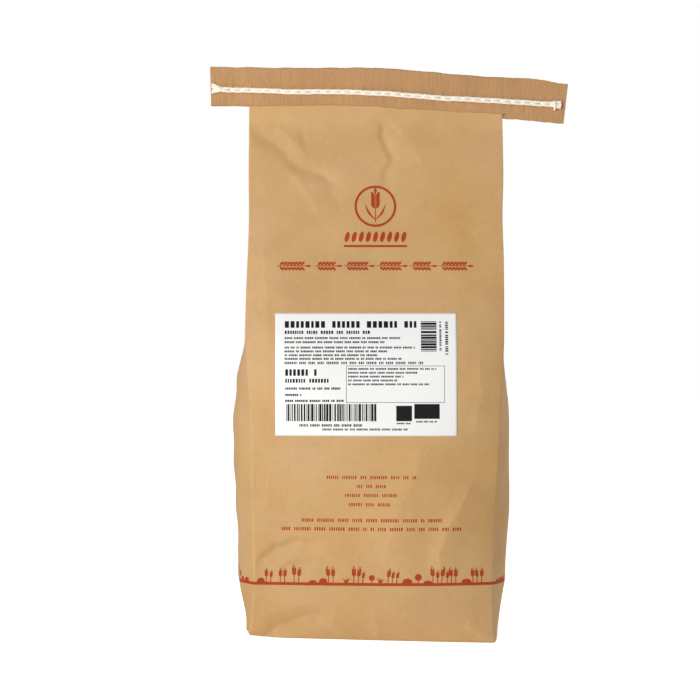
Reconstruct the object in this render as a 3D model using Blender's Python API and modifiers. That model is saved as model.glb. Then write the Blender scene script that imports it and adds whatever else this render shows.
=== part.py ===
"""A 3 kg gusseted paper bag of flour, standing upright.

The bag is full up to its shoulder. Above the shoulder its two panels run
together and its side gussets are tucked in, up to a flat top that a strip of
folded crepe tape closes. A chain stitch runs along the tape, and a plain label
is stuck to the front. Lengths are in millimetres until a vertex is made.
"""

import math

import bmesh
import bpy

MM = 0.001

# Bag: the heights that its form turns on
NOTCH_CLOSED_Z = 406.0
TONGUE_HALF = 0.5
GUSSET_HALF_WIDTH = 52.5

# Fold edges of the front and back panels, as (height, distance right of the origin)
LEFT_FOLD = (
    (0, -96.1), (13, -94.2), (60, -94.0), (107, -96.7), (170, -99.0), (217, -102.9),
    (240, -104.6), (329, -105.0), (361, -106.2), (400, -106.7), (420, -107.5), (455, -107.8),
)
RIGHT_FOLD = (
    (0, 96.4), (10, 94.6), (88, 94.3), (135, 95.9), (186, 97.4), (237, 97.3),
    (254, 98.0), (302, 97.6), (334, 96.3), (366, 96.4), (390, 95.2), (421, 94.1), (455, 93.6),
)

# Half the bag's depth at its fold edges, and how far each panel swells past them
HALF_DEPTH = ((0, 50.0), (40, 49.0), (120, 49.0), (180, 49.8), (210, 49.6), (236, 46.8), (268, 38.9))
FRONT_SWELL = (
    (0, 7.0), (20, 11.0), (60, 16.0), (110, 17.5), (165, 14.0), (215, 8.0), (250, 4.5), (330, 3.0), (395, 0.0),
)
BACK_SWELL = (
    (0, 7.0), (20, 10.0), (60, 14.5), (110, 16.0), (165, 13.0), (215, 7.5), (250, 4.0), (330, 2.5), (395, 0.0),
)
SWELL_POWER = 2.2

# How far each gusset swells past its fold edges
LEFT_GUSSET_SWELL = (
    (0, 14.0), (60, 14.8), (104, 14.4), (150, 15.3), (170, 15.6), (192, 11.6), (217, 6.5), (236, 0.0),
)
RIGHT_GUSSET_SWELL = (
    (0, 10.5), (45, 11.2), (94, 13.7), (142, 11.6), (182, 8.6), (198, 6.5), (214, 3.4), (224, 0.0),
)
LEFT_TUCK_Z = (204.0, 246.0)
RIGHT_TUCK_Z = (190.0, 240.0)
TUCK_START_WIDTH = 0.2
CORNER_FOLD_Z = 45.0
CORNER_FOLD_FOOT = 3.2

# Foot: the rounded edge round the flat base, and the front left corner that stands off the floor
FOOT_RADIUS = 3.5
CORNER_LIFT = 2.3
CORNER_LIFT_REACH = 25.0
CORNER_LIFT_FADE_Z = 40.0

# Flat top: its gentle wave from front to back
WAVE_HEIGHT = 1.6
WAVE_LENGTH = 170.0
WAVE_START = -30.0
WAVE_Z = (330.0, NOTCH_CLOSED_Z)

# Creases in the front panel: two ends as (right, height), half width, depth (negative stands out)
FRONT_CREASES = (
    ((-104, 401), (-30, 353), 13.0, 2.6),
    ((0, 404), (0, 362), 7.0, -1.4),
    ((-84, 398), (-62, 387), 6.0, 1.2),
    ((74, 336), (94, 327), 7.0, 1.4),
    ((-88, 64), (-42, 82), 6.0, -1.2),
    ((63, 92), (50, 54), 7.0, 1.5),
    ((-93, 8), (-64, 31), 8.0, 1.8),
    ((70, 14), (92, 4), 7.0, -1.5),
    ((20, 146), (6, 122), 7.0, 1.0),
)
BACK_CREASES = (
    ((-90, 300), (-20, 366), 14.0, 2.2),
    ((30, 380), (80, 320), 12.0, 1.8),
    ((-80, 120), (-30, 92), 8.0, 1.3),
    ((60, 60), (88, 20), 9.0, 1.6),
    ((10, 30), (40, 52), 8.0, 1.2),
)
FLAT_TOP_FADE = (380.0, 404.0)

# Label: its corners from the top left, clockwise, as (right, height)
LABEL_CORNERS = ((-81.6, 254.1), (60.3, 257.6), (62.7, 161.7), (-79.2, 158.2))
LABEL_GAP = 0.35
LABEL_THICKNESS = 0.4
LABEL_COLUMNS = 12
LABEL_ROWS = 9
LABEL_MARGIN = 12.0

# Crepe tape folded over the top: top edge and the two lower edges, as (right, height)
TAPE_TOP = (
    (-140, 450.6), (-52, 451.6), (-4, 452.8), (15, 451.9), (54, 450.2), (83, 448.4), (121, 447.1), (147, 443.4),
)
TAPE_FRONT_FOOT = ((-140, 419.4), (-107, 419.9), (94, 416.8), (147, 414.2))
TAPE_BACK_FOOT = ((-140, 419.1), (-107, 419.5), (94, 413.9), (147, 410.8))
TAPE_LEFT_END = (-138.3, -139.9)
TAPE_RIGHT_END = (144.0, 146.8)
TAPE_PLY = 0.4
TAPE_GAP = 0.3
TAPE_OVERHANG_HALF = 0.6
TAPE_THINS_OVER = 7.0
TAPE_COLUMNS = 34
TAPE_STEP = 0.2
TAPE_ROUND_TOP = 0.6

# Chain stitch
STITCH_PITCH = 8.0
THREAD_LINE = (
    (-139, 433.2), (-52, 433.3), (6, 431.8), (54, 429.9), (102, 429.0), (144, 427.4),
)
THREAD_ENDS = (-138.6, 143.2)
THREAD_GAP = 0.3
CHAIN_HALF_WIDTH = (1.5, 2.2)
CHAIN_HALF_THICKNESS = (0.6, 0.95)
CHAIN_RINGS = 4
CHAIN_SIDES = 6
BACK_HALF_WIDTH = (0.4, 0.75)
BACK_HALF_THICKNESS = (0.35, 0.6)
BACK_RINGS = 2
BACK_SIDES = 6

# Mesh of the bag: columns on each panel and on each half gusset, and the spacing of its levels
FRONT_COLUMNS = 24
BACK_COLUMNS = 16
GUSSET_COLUMNS = 6
EDGE_CROWDING = 0.25
LEVEL_STEPS = ((8.0, 200.0, 8.7), (200.0, 262.0, 6.2), (262.0, 391.0, 10.75))
LAST_LEVELS = (398.0, NOTCH_CLOSED_Z)
TONGUE_LEVELS = 4
BASE_EDGE_Z = 0.9
PANEL_REACH = 96.0
DEPTH_REACH = 55.0
CLOSED_TOP_Z = 435.0
SLOT_FOOT_Z = 408.0

# Materials: colour (linear), roughness
PAPER = ((0.61, 0.376, 0.178), 0.82)
CREPE = ((0.491, 0.275, 0.122), 0.85)
COTTON = ((0.90, 0.78, 0.62), 0.9)
LABEL_PAPER = ((0.93, 0.93, 0.93), 0.5)


def along(stations, at):
    """Smooth value between stations (position, value): a cubic through them with averaged slopes."""
    last = len(stations) - 1
    if at <= stations[0][0]:
        return stations[0][1]
    if at >= stations[last][0]:
        return stations[last][1]
    slopes = []
    for i in range(last):
        run = stations[i + 1][0] - stations[i][0]
        slopes.append((stations[i + 1][1] - stations[i][1]) / run)
    i = 0
    while at > stations[i + 1][0]:
        i += 1
    start = slopes[i] if i == 0 else (slopes[i - 1] + slopes[i]) / 2
    end = slopes[i] if i == last - 1 else (slopes[i] + slopes[i + 1]) / 2
    run = stations[i + 1][0] - stations[i][0]
    t = (at - stations[i][0]) / run
    low = stations[i][1]
    high = stations[i + 1][1]
    return (
        (2 * t**3 - 3 * t**2 + 1) * low
        + (t**3 - 2 * t**2 + t) * run * start
        + (3 * t**2 - 2 * t**3) * high
        + (t**3 - t**2) * run * end
    )


def ease(low, high, at):
    """0 at low and 1 at high, with level ends."""
    t = min(1.0, max(0.0, (at - low) / (high - low)))
    return t * t * (3 - 2 * t)


def half_depth(z):
    """Half the distance from the front fold edge to the back one."""
    full = HALF_DEPTH[-1]
    if z <= full[0]:
        return along(HALF_DEPTH, z)
    if z >= NOTCH_CLOSED_Z:
        return TONGUE_HALF
    left = (NOTCH_CLOSED_Z - z) / (NOTCH_CLOSED_Z - full[0])
    return TONGUE_HALF + (full[1] - TONGUE_HALF) * left


def wave(x, z):
    """How far the flat top wanders from front to back."""
    return WAVE_HEIGHT * math.sin(2 * math.pi * (x - WAVE_START) / WAVE_LENGTH) * ease(*WAVE_Z, z)


def outside_label(x, z):
    """Distance outside the label's rectangle, negative inside it."""
    left, right = LABEL_CORNERS[0][0], LABEL_CORNERS[2][0]
    top, foot = LABEL_CORNERS[1][1], LABEL_CORNERS[3][1]
    return max(left - x, x - right, foot - z, z - top)


def creases(lines, x, z):
    """Sum of the creases at this place, as a depth into the bag."""
    total = 0.0
    for (x0, z0), (x1, z1), half_width, depth in lines:
        length = math.hypot(x1 - x0, z1 - z0)
        across = ((x - x0) * (z1 - z0) - (z - z0) * (x1 - x0)) / length
        onward = ((x - x0) * (x1 - x0) + (z - z0) * (z1 - z0)) / length
        past = max(0.0, -onward, onward - length)
        away = math.hypot(across, past)
        total += depth * math.exp(-((away / half_width) ** 2))
    return total * (1 - ease(*FLAT_TOP_FADE, z))


def panel(x, z, swell, lines):
    """Distance of a panel's surface from the middle plane."""
    left, right = along(LEFT_FOLD, z), along(RIGHT_FOLD, z)
    u = min(1.0, abs((2 * x - left - right) / (right - left)))
    bulge = max(0.0, along(swell, z)) * (1 - u**SWELL_POWER)
    return half_depth(z) + bulge - creases(lines, x, z) * (1 - u**6)


def front_y(x, z):
    """The front panel's surface; it is smooth under the label."""
    clear = ease(0.0, LABEL_MARGIN, outside_label(x, z))
    smooth = panel(x, z, FRONT_SWELL, ())
    if clear > 0:
        smooth += (panel(x, z, FRONT_SWELL, FRONT_CREASES) - smooth) * clear
    return wave(x, z) - smooth


def back_y(x, z):
    """The back panel's surface."""
    return wave(x, z) + panel(x, z, BACK_SWELL, BACK_CREASES)


def gusset_out(v, z, swell, tuck_z):
    """How far the gusset stands out past its fold edges, at v from -1 (front) to 1 (back)."""
    belly = max(0.0, along(swell, z)) * (1 - v * v)
    apex = along(swell, CORNER_FOLD_Z)
    corner = CORNER_FOLD_FOOT * (1 - abs(v)) + (apex - CORNER_FOLD_FOOT) * z / CORNER_FOLD_Z
    out = min(belly, corner) if z < CORNER_FOLD_Z else belly
    tucked = ease(*tuck_z, z)
    if tucked == 0:
        return out
    width = TUCK_START_WIDTH + (1 - TUCK_START_WIDTH) * tucked
    depth = math.sqrt(max(0.0, GUSSET_HALF_WIDTH**2 - half_depth(z) ** 2))
    return out - depth * tucked * max(0.0, 1 - abs(v) / width)


def crowded(count):
    """count + 1 places from -1 to 1, closer together near both ends."""
    places = []
    for i in range(count + 1):
        t = -1 + 2 * i / count
        places.append(t + EDGE_CROWDING * math.sin(math.pi * t) / math.pi)
    return places


def tongue_top(x):
    """Top edge of the paper, inside the fold of the tape."""
    return along(TAPE_TOP, x) - TAPE_PLY - TAPE_GAP


def panel_points(z_of, side, columns):
    """One row of a panel, from its left fold edge to its right one."""
    surface = front_y if side < 0 else back_y
    row = []
    for u in crowded(columns):
        z = z_of(0.0)
        left, right = along(LEFT_FOLD, z), along(RIGHT_FOLD, z)
        x = (left + right) / 2 + u * (right - left) / 2
        z = z_of(x)
        row.append((x, surface(x, z), z))
    return row


def gusset_points(z, side):
    """One row of a gusset from front to back, without the panels' own edge points."""
    fold = along(RIGHT_FOLD if side > 0 else LEFT_FOLD, z)
    swell = RIGHT_GUSSET_SWELL if side > 0 else LEFT_GUSSET_SWELL
    tuck_z = RIGHT_TUCK_Z if side > 0 else LEFT_TUCK_Z
    inner = half_depth(z) - TONGUE_HALF
    row = []
    for i in range(-GUSSET_COLUMNS, GUSSET_COLUMNS + 1):
        v = i / GUSSET_COLUMNS
        x = fold + side * gusset_out(v, z, swell, tuck_z)
        row.append((x, v * inner + wave(x, z), z))
    return row


def foot_shaped(point, base):
    """Rounds the foot and lifts the front left corner off the floor; base marks the flat face's own points."""
    x, y, z = point
    lifted = ease(CORNER_LIFT_REACH - PANEL_REACH, -PANEL_REACH, x) * ease(10.0, -30.0, y)
    if base:
        inset = FOOT_RADIUS + 2 * CORNER_LIFT * lifted
        return x * (1 - inset / PANEL_REACH), y * (1 - inset / DEPTH_REACH), 0.0
    if z < FOOT_RADIUS:
        inset = FOOT_RADIUS - math.sqrt(FOOT_RADIUS**2 - (FOOT_RADIUS - z) ** 2)
        x *= 1 - inset / PANEL_REACH
        y *= 1 - inset / DEPTH_REACH
    z += CORNER_LIFT * lifted * max(0.0, 1 - z / CORNER_LIFT_FADE_Z)
    return x, y, z


def levels():
    """Heights of the bag's rows up to where the gusset notches close."""
    heights = [0.0, BASE_EDGE_Z, FOOT_RADIUS]
    for start, end, step in LEVEL_STEPS:
        count = round((end - start) / step)
        for i in range(count):
            heights.append(start + (end - start) * i / count)
    heights.append(LEVEL_STEPS[-1][1])
    return heights + list(LAST_LEVELS)


def ring(mesh, z, base):
    """The vertices of one level below the flat top, counterclockwise from the front left fold."""
    front = panel_points(lambda x: z, -1, FRONT_COLUMNS)
    right = gusset_points(z, 1)
    back = panel_points(lambda x: z, 1, BACK_COLUMNS)
    left = gusset_points(z, -1)
    points = front + right + back[::-1] + left[::-1]
    shaped = [foot_shaped(point, base) for point in points]
    return [mesh.verts.new([c * MM for c in point]) for point in shaped]


def ring_parts():
    """Index ranges of the front, right gusset, back and left gusset in a ring."""
    sizes = (FRONT_COLUMNS + 1, 2 * GUSSET_COLUMNS + 1, BACK_COLUMNS + 1, 2 * GUSSET_COLUMNS + 1)
    parts = []
    start = 0
    for size in sizes:
        parts.append(range(start, start + size))
        start += size
    return parts


def tongue_ring(mesh, level):
    """One row of the flat top: front, right edge, back, left edge."""
    share = level / TONGUE_LEVELS

    def height(x):
        return NOTCH_CLOSED_Z + (tongue_top(x) - NOTCH_CLOSED_Z) * share

    front = panel_points(height, -1, FRONT_COLUMNS)
    back = panel_points(height, 1, BACK_COLUMNS)
    right_edge = (front[-1][0], wave(front[-1][0], front[-1][2]), front[-1][2])
    left_edge = (front[0][0], wave(front[0][0], front[0][2]), front[0][2])
    points = front + [right_edge] + back[::-1] + [left_edge]
    return [mesh.verts.new([c * MM for c in point]) for point in points]


def join_rows(mesh, lower, upper):
    """Quads between two closed rows of the same length."""
    count = len(lower)
    for i in range(count):
        j = (i + 1) % count
        mesh.faces.new((lower[i], lower[j], upper[j], upper[i]))


def object_from(mesh, name, material):
    """Finishes a bmesh into an object of the bag's collection."""
    bmesh.ops.recalc_face_normals(mesh, faces=mesh.faces)
    data = bpy.data.meshes.new(name)
    mesh.to_mesh(data)
    mesh.free()
    data.shade_smooth()
    data.set_sharp_from_angle(angle=math.radians(40))
    data.materials.append(material)
    return bpy.data.objects.new(name, data)


def make_bag(material):
    """The paper bag with its flour, one solid loft from the base to the paper's top edge.

    At the last level of the notches their front and back walls meet on the
    middle plane, so that welding the vertices there closes them.
    """
    mesh = bmesh.new()
    heights = levels()
    rows = [ring(mesh, z, i == 0) for i, z in enumerate(heights)]
    for lower, upper in zip(rows, rows[1:]):
        join_rows(mesh, lower, upper)
    mesh.faces.new(rows[0][::-1])
    front, right, back, left = ring_parts()
    closed = rows[-1]
    lower = [closed[i] for i in front] + [closed[right[0]]]
    lower += [closed[i] for i in back] + [closed[left[0]]]
    for level in range(1, TONGUE_LEVELS + 1):
        upper = tongue_ring(mesh, level)
        join_rows(mesh, lower, upper)
        lower = upper
    mesh.faces.new(lower)
    bmesh.ops.remove_doubles(mesh, verts=mesh.verts, dist=0.00001)
    bmesh.ops.triangulate(mesh, faces=mesh.faces)
    return object_from(mesh, "bag", material)


def tape_half(x):
    """Half the tape's thickness: thick over the paper, two plies in the overhangs."""
    full = TONGUE_HALF + TAPE_GAP + TAPE_PLY
    left, right = along(LEFT_FOLD, CLOSED_TOP_Z), along(RIGHT_FOLD, CLOSED_TOP_Z)
    past = max(left - x, x - right) - 2 * TAPE_GAP
    return full + (TAPE_OVERHANG_HALF - full) * ease(0.0, TAPE_THINS_OVER, past)


def tape_section(share):
    """Closed outline of the folded tape at a share of its length, from its front foot over the top."""
    foot_x = TAPE_LEFT_END[0] + (TAPE_RIGHT_END[0] - TAPE_LEFT_END[0]) * share
    top_x = TAPE_LEFT_END[1] + (TAPE_RIGHT_END[1] - TAPE_LEFT_END[1]) * share
    front = along(TAPE_FRONT_FOOT, foot_x)
    back = min(along(TAPE_BACK_FOOT, foot_x), front - TAPE_STEP)
    top = along(TAPE_TOP, top_x)
    half = tape_half(foot_x)
    mid = (front + top) / 2
    shape = (
        (-half, front), (-half, mid), (-half, top - TAPE_ROUND_TOP), (-half / 2, top - 0.2),
        (0.0, top), (half / 2, top - 0.2), (half, top - TAPE_ROUND_TOP), (half, mid),
        (half, back), (0.0, back), (0.0, front),
    )
    points = []
    for y, z in shape:
        x = foot_x + (top_x - foot_x) * (z - front) / (top - front)
        points.append((x, y + wave(x, z), z))
    return points


def slot_section(share):
    """Outline of the slot that takes the paper, open past the tape's foot."""
    start = along(LEFT_FOLD, CLOSED_TOP_Z) - 2 * TAPE_GAP
    end = along(RIGHT_FOLD, CLOSED_TOP_Z) + 2 * TAPE_GAP
    x = start + (end - start) * share
    half = TONGUE_HALF + TAPE_GAP
    top = along(TAPE_TOP, x) - TAPE_PLY
    points = []
    for z in (SLOT_FOOT_Z, CLOSED_TOP_Z, top):
        points.append((x, wave(x, z) - half, z))
    for z in (top, CLOSED_TOP_Z, SLOT_FOOT_Z):
        points.append((x, wave(x, z) + half, z))
    return points


def ribbon(name, section, columns, material):
    """Solid lofted through the sections along its length, closed at both ends."""
    mesh = bmesh.new()
    rows = []
    for i in range(columns + 1):
        rows.append([mesh.verts.new([c * MM for c in point]) for point in section(i / columns)])
    for lower, upper in zip(rows, rows[1:]):
        join_rows(mesh, lower, upper)
    mesh.faces.new(rows[0])
    mesh.faces.new(rows[-1][::-1])
    return object_from(mesh, name, material)


def make_tape(material, cutters):
    """The folded crepe tape, with the slot for the paper cut out of it."""
    tape = ribbon("tape", tape_section, TAPE_COLUMNS, material)
    slot = ribbon("tape_slot", slot_section, TAPE_COLUMNS, material)
    slot.hide_render = True
    slot.display_type = "WIRE"
    cutters.objects.link(slot)
    cut = tape.modifiers.new("slot", "BOOLEAN")
    cut.operation = "DIFFERENCE"
    cut.solver = "EXACT"
    cut.object = slot
    return tape


def make_stitches(name, side, half_width, half_thickness, rings, sides, material):
    """A row of stitches as one lobed strand lying on the tape, on the front (-1) or back (1)."""
    start, end = THREAD_ENDS
    count = round((end - start) / STITCH_PITCH) * rings
    mesh = bmesh.new()
    rows = []
    for i in range(count + 1):
        x = start + (end - start) * i / count
        z = along(THREAD_LINE, x)
        fullness = abs(math.sin(math.pi * i / rings))
        width = half_width[0] + (half_width[1] - half_width[0]) * fullness
        thick = half_thickness[0] + (half_thickness[1] - half_thickness[0]) * fullness
        y = wave(x, z) + side * (tape_half(x) + THREAD_GAP + half_thickness[1])
        row = []
        for k in range(sides):
            angle = 2 * math.pi * k / sides
            place = (x, y + thick * math.sin(angle), z + width * math.cos(angle))
            row.append(mesh.verts.new([c * MM for c in place]))
        rows.append(row)
    for lower, upper in zip(rows, rows[1:]):
        join_rows(mesh, lower, upper)
    mesh.faces.new(rows[0])
    mesh.faces.new(rows[-1][::-1])
    return object_from(mesh, name, material)


def label_place(s, t):
    """Point of the label at s across and t down, as (right, height)."""
    top_left, top_right, foot_right, foot_left = LABEL_CORNERS
    place = []
    for axis in (0, 1):
        top = top_left[axis] + (top_right[axis] - top_left[axis]) * s
        foot = foot_left[axis] + (foot_right[axis] - foot_left[axis]) * s
        place.append(top + (foot - top) * t)
    return place


def make_label(material):
    """The label: a sheet that follows the front panel, made thick towards the front."""
    mesh = bmesh.new()
    rows = []
    for j in range(LABEL_ROWS + 1):
        row = []
        for i in range(LABEL_COLUMNS + 1):
            x, z = label_place(i / LABEL_COLUMNS, j / LABEL_ROWS)
            y = front_y(x, z) - LABEL_GAP
            row.append(mesh.verts.new((x * MM, y * MM, z * MM)))
        rows.append(row)
    for upper, lower in zip(rows, rows[1:]):
        for i in range(LABEL_COLUMNS):
            mesh.faces.new((lower[i], lower[i + 1], upper[i + 1], upper[i]))
    label = object_from(mesh, "label", material)
    shell = label.modifiers.new("thickness", "SOLIDIFY")
    shell.thickness = LABEL_THICKNESS * MM
    shell.offset = 1.0
    return label


def make_material(name, look):
    """Plain coloured material."""
    colour, roughness = look
    material = bpy.data.materials.new(name)
    material.use_nodes = True
    shader = material.node_tree.nodes["Principled BSDF"]
    shader.inputs["Base Color"].default_value = (*colour, 1)
    shader.inputs["Roughness"].default_value = roughness
    shader.inputs["Metallic"].default_value = 0.0
    return material


def clear_scene():
    """Removes every object that the scene starts with."""
    for item in list(bpy.data.objects):
        bpy.data.objects.remove(item, do_unlink=True)


def main():
    clear_scene()
    parts = bpy.data.collections.new("flour_bag")
    cutters = bpy.data.collections.new("cutters")
    bpy.context.scene.collection.children.link(parts)
    bpy.context.scene.collection.children.link(cutters)
    crepe = make_material("crepe", CREPE)
    cotton = make_material("cotton", COTTON)
    pieces = [
        make_bag(make_material("paper", PAPER)),
        make_tape(crepe, cutters),
        make_stitches(
            "thread_front", -1, CHAIN_HALF_WIDTH, CHAIN_HALF_THICKNESS, CHAIN_RINGS, CHAIN_SIDES, cotton
        ),
        make_stitches(
            "thread_back", 1, BACK_HALF_WIDTH, BACK_HALF_THICKNESS, BACK_RINGS, BACK_SIDES, cotton
        ),
        make_label(make_material("label_paper", LABEL_PAPER)),
    ]
    for piece in pieces:
        parts.objects.link(piece)


main()
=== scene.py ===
"""Paper, print, label, crepe tape and stitches of a standing bag of flour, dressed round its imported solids.

Sizes are millimetres in the shape functions, and become metres when a mesh is made.
"""

import math

import bmesh
import bpy
import numpy as np
from bpy.props import FloatProperty, FloatVectorProperty, IntProperty, PointerProperty
from bpy.types import Operator, Panel, PropertyGroup
from mathutils import Matrix


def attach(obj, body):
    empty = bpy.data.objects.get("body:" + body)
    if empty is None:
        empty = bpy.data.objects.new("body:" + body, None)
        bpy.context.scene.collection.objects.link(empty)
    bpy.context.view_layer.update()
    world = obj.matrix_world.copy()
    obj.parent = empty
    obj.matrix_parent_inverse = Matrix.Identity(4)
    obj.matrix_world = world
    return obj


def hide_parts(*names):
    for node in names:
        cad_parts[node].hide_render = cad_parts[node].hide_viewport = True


bl_info = {
    "name": "Flour bag",
    "version": (1, 0, 0),
    "blender": (4, 5, 0),
    "location": "View3D > Sidebar > Flour bag",
    "description": "Paper bag of flour with a taped and stitched top",
    "category": "Add Mesh",
}

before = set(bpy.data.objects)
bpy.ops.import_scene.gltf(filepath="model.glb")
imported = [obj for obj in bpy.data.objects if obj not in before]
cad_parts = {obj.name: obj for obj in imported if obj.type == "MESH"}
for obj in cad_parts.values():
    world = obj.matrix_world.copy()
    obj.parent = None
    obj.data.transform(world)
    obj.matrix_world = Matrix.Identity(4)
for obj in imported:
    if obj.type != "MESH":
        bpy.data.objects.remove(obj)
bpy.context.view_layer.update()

MM = 0.001

# View: the photograph's frame, what one of its pixels measures at the bag, and where the camera stands
PHOTO_SIDE_PX = 700
MM_PER_PX = 0.8
SENSOR_MM = 36.0
CAMERA_X = -22.4
CAMERA_Z = 226.7
CAMERA_ROLL = 1.4

# Lights: degrees to the right of the camera's side and above the floor, metres from the bag, the soft box's side,
# and how bright the sky is near the floor and overhead
KEY_AZIMUTH = -38.0
KEY_ELEVATION = 9.0
KEY_DISTANCE = 2.6
KEY_SIZE = 1.2
FILL_AZIMUTH = 132.0
FILL_ELEVATION = 34.0
FILL_SOFTNESS = 36.0
BACKDROP = 1.0
SKY_LOW = 1.25
SKY_TOP = 0.35

# Floor: what it gives off of its own, the tint of that, half its side and how far it is below the bag
FLOOR_LIGHT = 0.2
FLOOR_TINT = (1, 0.965, 0.91)
FLOOR_HALF = 14000.0
FLOOR_GAP = 0.05

# Form of the bag, as the solids have it: stations are (height, value)
NOTCH_CLOSED_Z = 406.0
TONGUE_HALF = 0.5
GUSSET_HALF_WIDTH = 52.5
LEFT_FOLD = (
    (0, -96.1), (13, -94.4), (60, -94.0), (107, -96.7), (170, -99.0), (217, -103.5),
    (240, -105.3), (329, -105.6), (361, -106.8), (400, -107.4), (420, -107.8), (455, -107.9),
)
RIGHT_FOLD = (
    (0, 97.2), (10, 95.6), (88, 94.3), (135, 95.9), (186, 97.4), (226, 98.2), (240, 98.7),
    (254, 98.6), (302, 97.8), (334, 96.5), (366, 96.7), (390, 95.9), (421, 94.8), (455, 93.9),
)
HALF_DEPTH = ((0, 50.0), (40, 49.0), (120, 49.0), (180, 49.8), (210, 49.6), (236, 46.8), (268, 38.9))
FRONT_SWELL = (
    (0, 3.0), (20, 10.0), (60, 16.0), (110, 17.5), (165, 14.5), (215, 10.6), (250, 6.6), (290, 3.4), (330, 1.9),
    (370, 1.1), (400, 0.0),
)
BACK_SWELL = (
    (0, 7.0), (20, 10.0), (60, 14.5), (110, 16.0), (165, 13.5), (215, 10.0), (250, 8.0), (330, 5.0), (400, 0.0),
)
SWELL_POWER = (
    (0, 2.2), (60, 2.0), (110, 1.9), (150, 2.1), (195, 4.0), (240, 6.5), (300, 6.0), (350, 4.0), (400, 3.0),
)
CREST_SHIFT = ((0, 0.15), (40, 0.28), (110, 0.3), (160, 0.18), (200, 0.0), (455, 0.0))
LEFT_GUSSET_SWELL = (
    (0, 13.2), (60, 13.4), (104, 13.5), (140, 15.0), (170, 15.1), (192, 10.8), (217, 6.6), (236, 0.0),
)
RIGHT_GUSSET_SWELL = (
    (0, 10.5), (45, 11.2), (92, 12.9), (110, 12.3), (142, 10.8), (182, 7.7), (198, 5.6), (214, 3.0), (224, 0.0),
)
LEFT_TUCK_Z = (204.0, 246.0)
RIGHT_TUCK_Z = (190.0, 240.0)
TUCK_START_WIDTH = 0.2
CORNER_FOLD_Z = 45.0
CORNER_FOLD_FOOT = 3.2
FOOT_RADIUS = 1.5
CORNER_LIFT = 1.3
CORNER_LIFT_REACH = 25.0
CORNER_LIFT_FADE_Z = 40.0
PANEL_REACH = 96.0
DEPTH_REACH = 55.0
WAVE_HEIGHT = 1.6
WAVE_LENGTH = 280.0
WAVE_CREST = -10.0
WAVE_Z = (330.0, NOTCH_CLOSED_Z)
CLOSED_TOP_Z = 435.0
TOP_BEND = 4.5

# Fold lines: path as (right, height), rise of the line above the paper, widths of its left and right flanks
FRONT_CREASES = (
    (((-128, 415), (-105, 400), (-92, 392), (-79, 384), (-68, 371.5), (-45, 364), (-26, 350)), -1.5, 11.0, 8.0),
    (((-87, 405), (-63, 385)), 0.7, 8.0, 7.0),
    (((-64.5, 405), (-64.5, 384)), -0.5, 7.0, 4.0),
    (((-76, 370), (-69, 362), (-55, 345), (-47, 332)), 0.7, 13.0, 5.0),
    (((-52, 370), (-38, 349), (-31, 337)), -0.7, 8.0, 10.0),
    (((-1, 419), (-0.5, 397), (5, 386), (8, 378), (2.5, 369), (0, 353)), -1.6, 9.0, 4.5),
    (((-1, 412), (13, 400)), -0.5, 3.0, 4.0),
    (((9, 407), (24, 388), (32, 372)), 0.9, 24.0, 13.0),
    (((71, 321), (98, 339)), 0.75, 4.0, 9.0),
    (((46, 166), (25, 119), (16, 98), (6, 54)), 1.3, 28.0, 22.0),
    (((37, 162), (30, 132)), 0.55, 5.0, 6.0),
    (((79, 134), (56, 86), (51, 73), (50, 42)), 1.7, 20.0, 9.0),
    (((-99, 52), (-76, 70), (-60, 75.5), (-40, 74)), -2.7, 6.0, 14.0),
    (((-75, 52), (-58, 60), (-41, 58)), -1.7, 5.0, 8.0),
    (((-45, 67), (-25, 72)), 0.5, 3.0, 4.0),
    (((-51, 55), (-30, 60)), 0.5, 3.0, 4.0),
    (((-96, -8), (-71, 10.5), (-51, 18), (-28, 20)), -2.9, 11.0, 13.0),
    (((71, 15), (100, -2)), 1.4, 9.0, 4.0),
    (((-1, 28), (6, -3)), 0.8, 10.0, 8.0),
    (((-46, 14), (-20, 3)), 0.7, 8.0, 6.0),
    (((74, 191), (91, 193)), -0.45, 2.5, 2.5),
    (((-94, 318), (-92.6, 300), (-92.2, 284), (-88, 257), (-85, 226)), 0.95, 26.0, 13.0),
    (((96, 340), (88, 277), (78, 256)), 0.35, 10.0, 22.0),
    (((-79, 150), (-88, 96)), 0.6, 16.0, 9.0),
    (((78, 236), (81, 190), (74, 160)), 0.5, 9.0, 6.0),
)
BACK_CREASES = (
    (((-100, 326), (-50, 352), (-16, 370)), -2.7, 9.0, 12.0),
    (((20, 400), (34, 362), (54, 348)), -1.89, 5.0, 10.0),
    (((58, 298), (92, 326)), 1.22, 5.0, 10.0),
    (((-74, 208), (-20, 232), (28, 226)), -1.62, 9.0, 14.0),
    (((-90, 98), (-60, 84), (-30, 92)), 1.76, 7.0, 14.0),
    (((28, 154), (52, 120), (60, 88)), 2.16, 18.0, 12.0),
    (((58, 56), (80, 30), (94, 0)), -2.43, 8.0, 12.0),
    (((-96, 36), (-70, 14), (-36, 6)), 1.89, 10.0, 6.0),
    (((-40, 300), (-30, 250)), 1.08, 10.0, 16.0),
)
RELIEF_FADE_Z = (403.0, 418.0)
CREASE_SEEDS = (51, 52)
CREASE_BENDS = ((9, 26), 0.45)
FLANK_POWER = 1.3
# How far from a fold line the paper is painted paler, and the share of that in a valley: wear, with a painted
# highlight on the ridges
WORN_AND_LIT_REACH = 0.9
VALLEY_WEAR_AND_HIGHLIGHT = 0.3
GUSSET_FADE_Z = (300, 400)
CENTRE_LINE_RISE = 0.45
CENTRE_LINE_REACH = 1.6

# Small drawn folds: seed, box that they lie in, how many, height, shortest and longest, narrowest and widest
FRONT_CRUMPLE = (11, (-105, 98, 0, 405), 80, 0.13, (8, 30), (1.8, 5.0))
BACK_CRUMPLE = (23, (-105, 98, 0, 405), 90, 0.18, (8, 32), (1.6, 5.5))
GUSSET_CRUMPLE = ((-50, 50, 0, 330), 46, 0.22, (7, 24), (1.5, 4.5))

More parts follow.
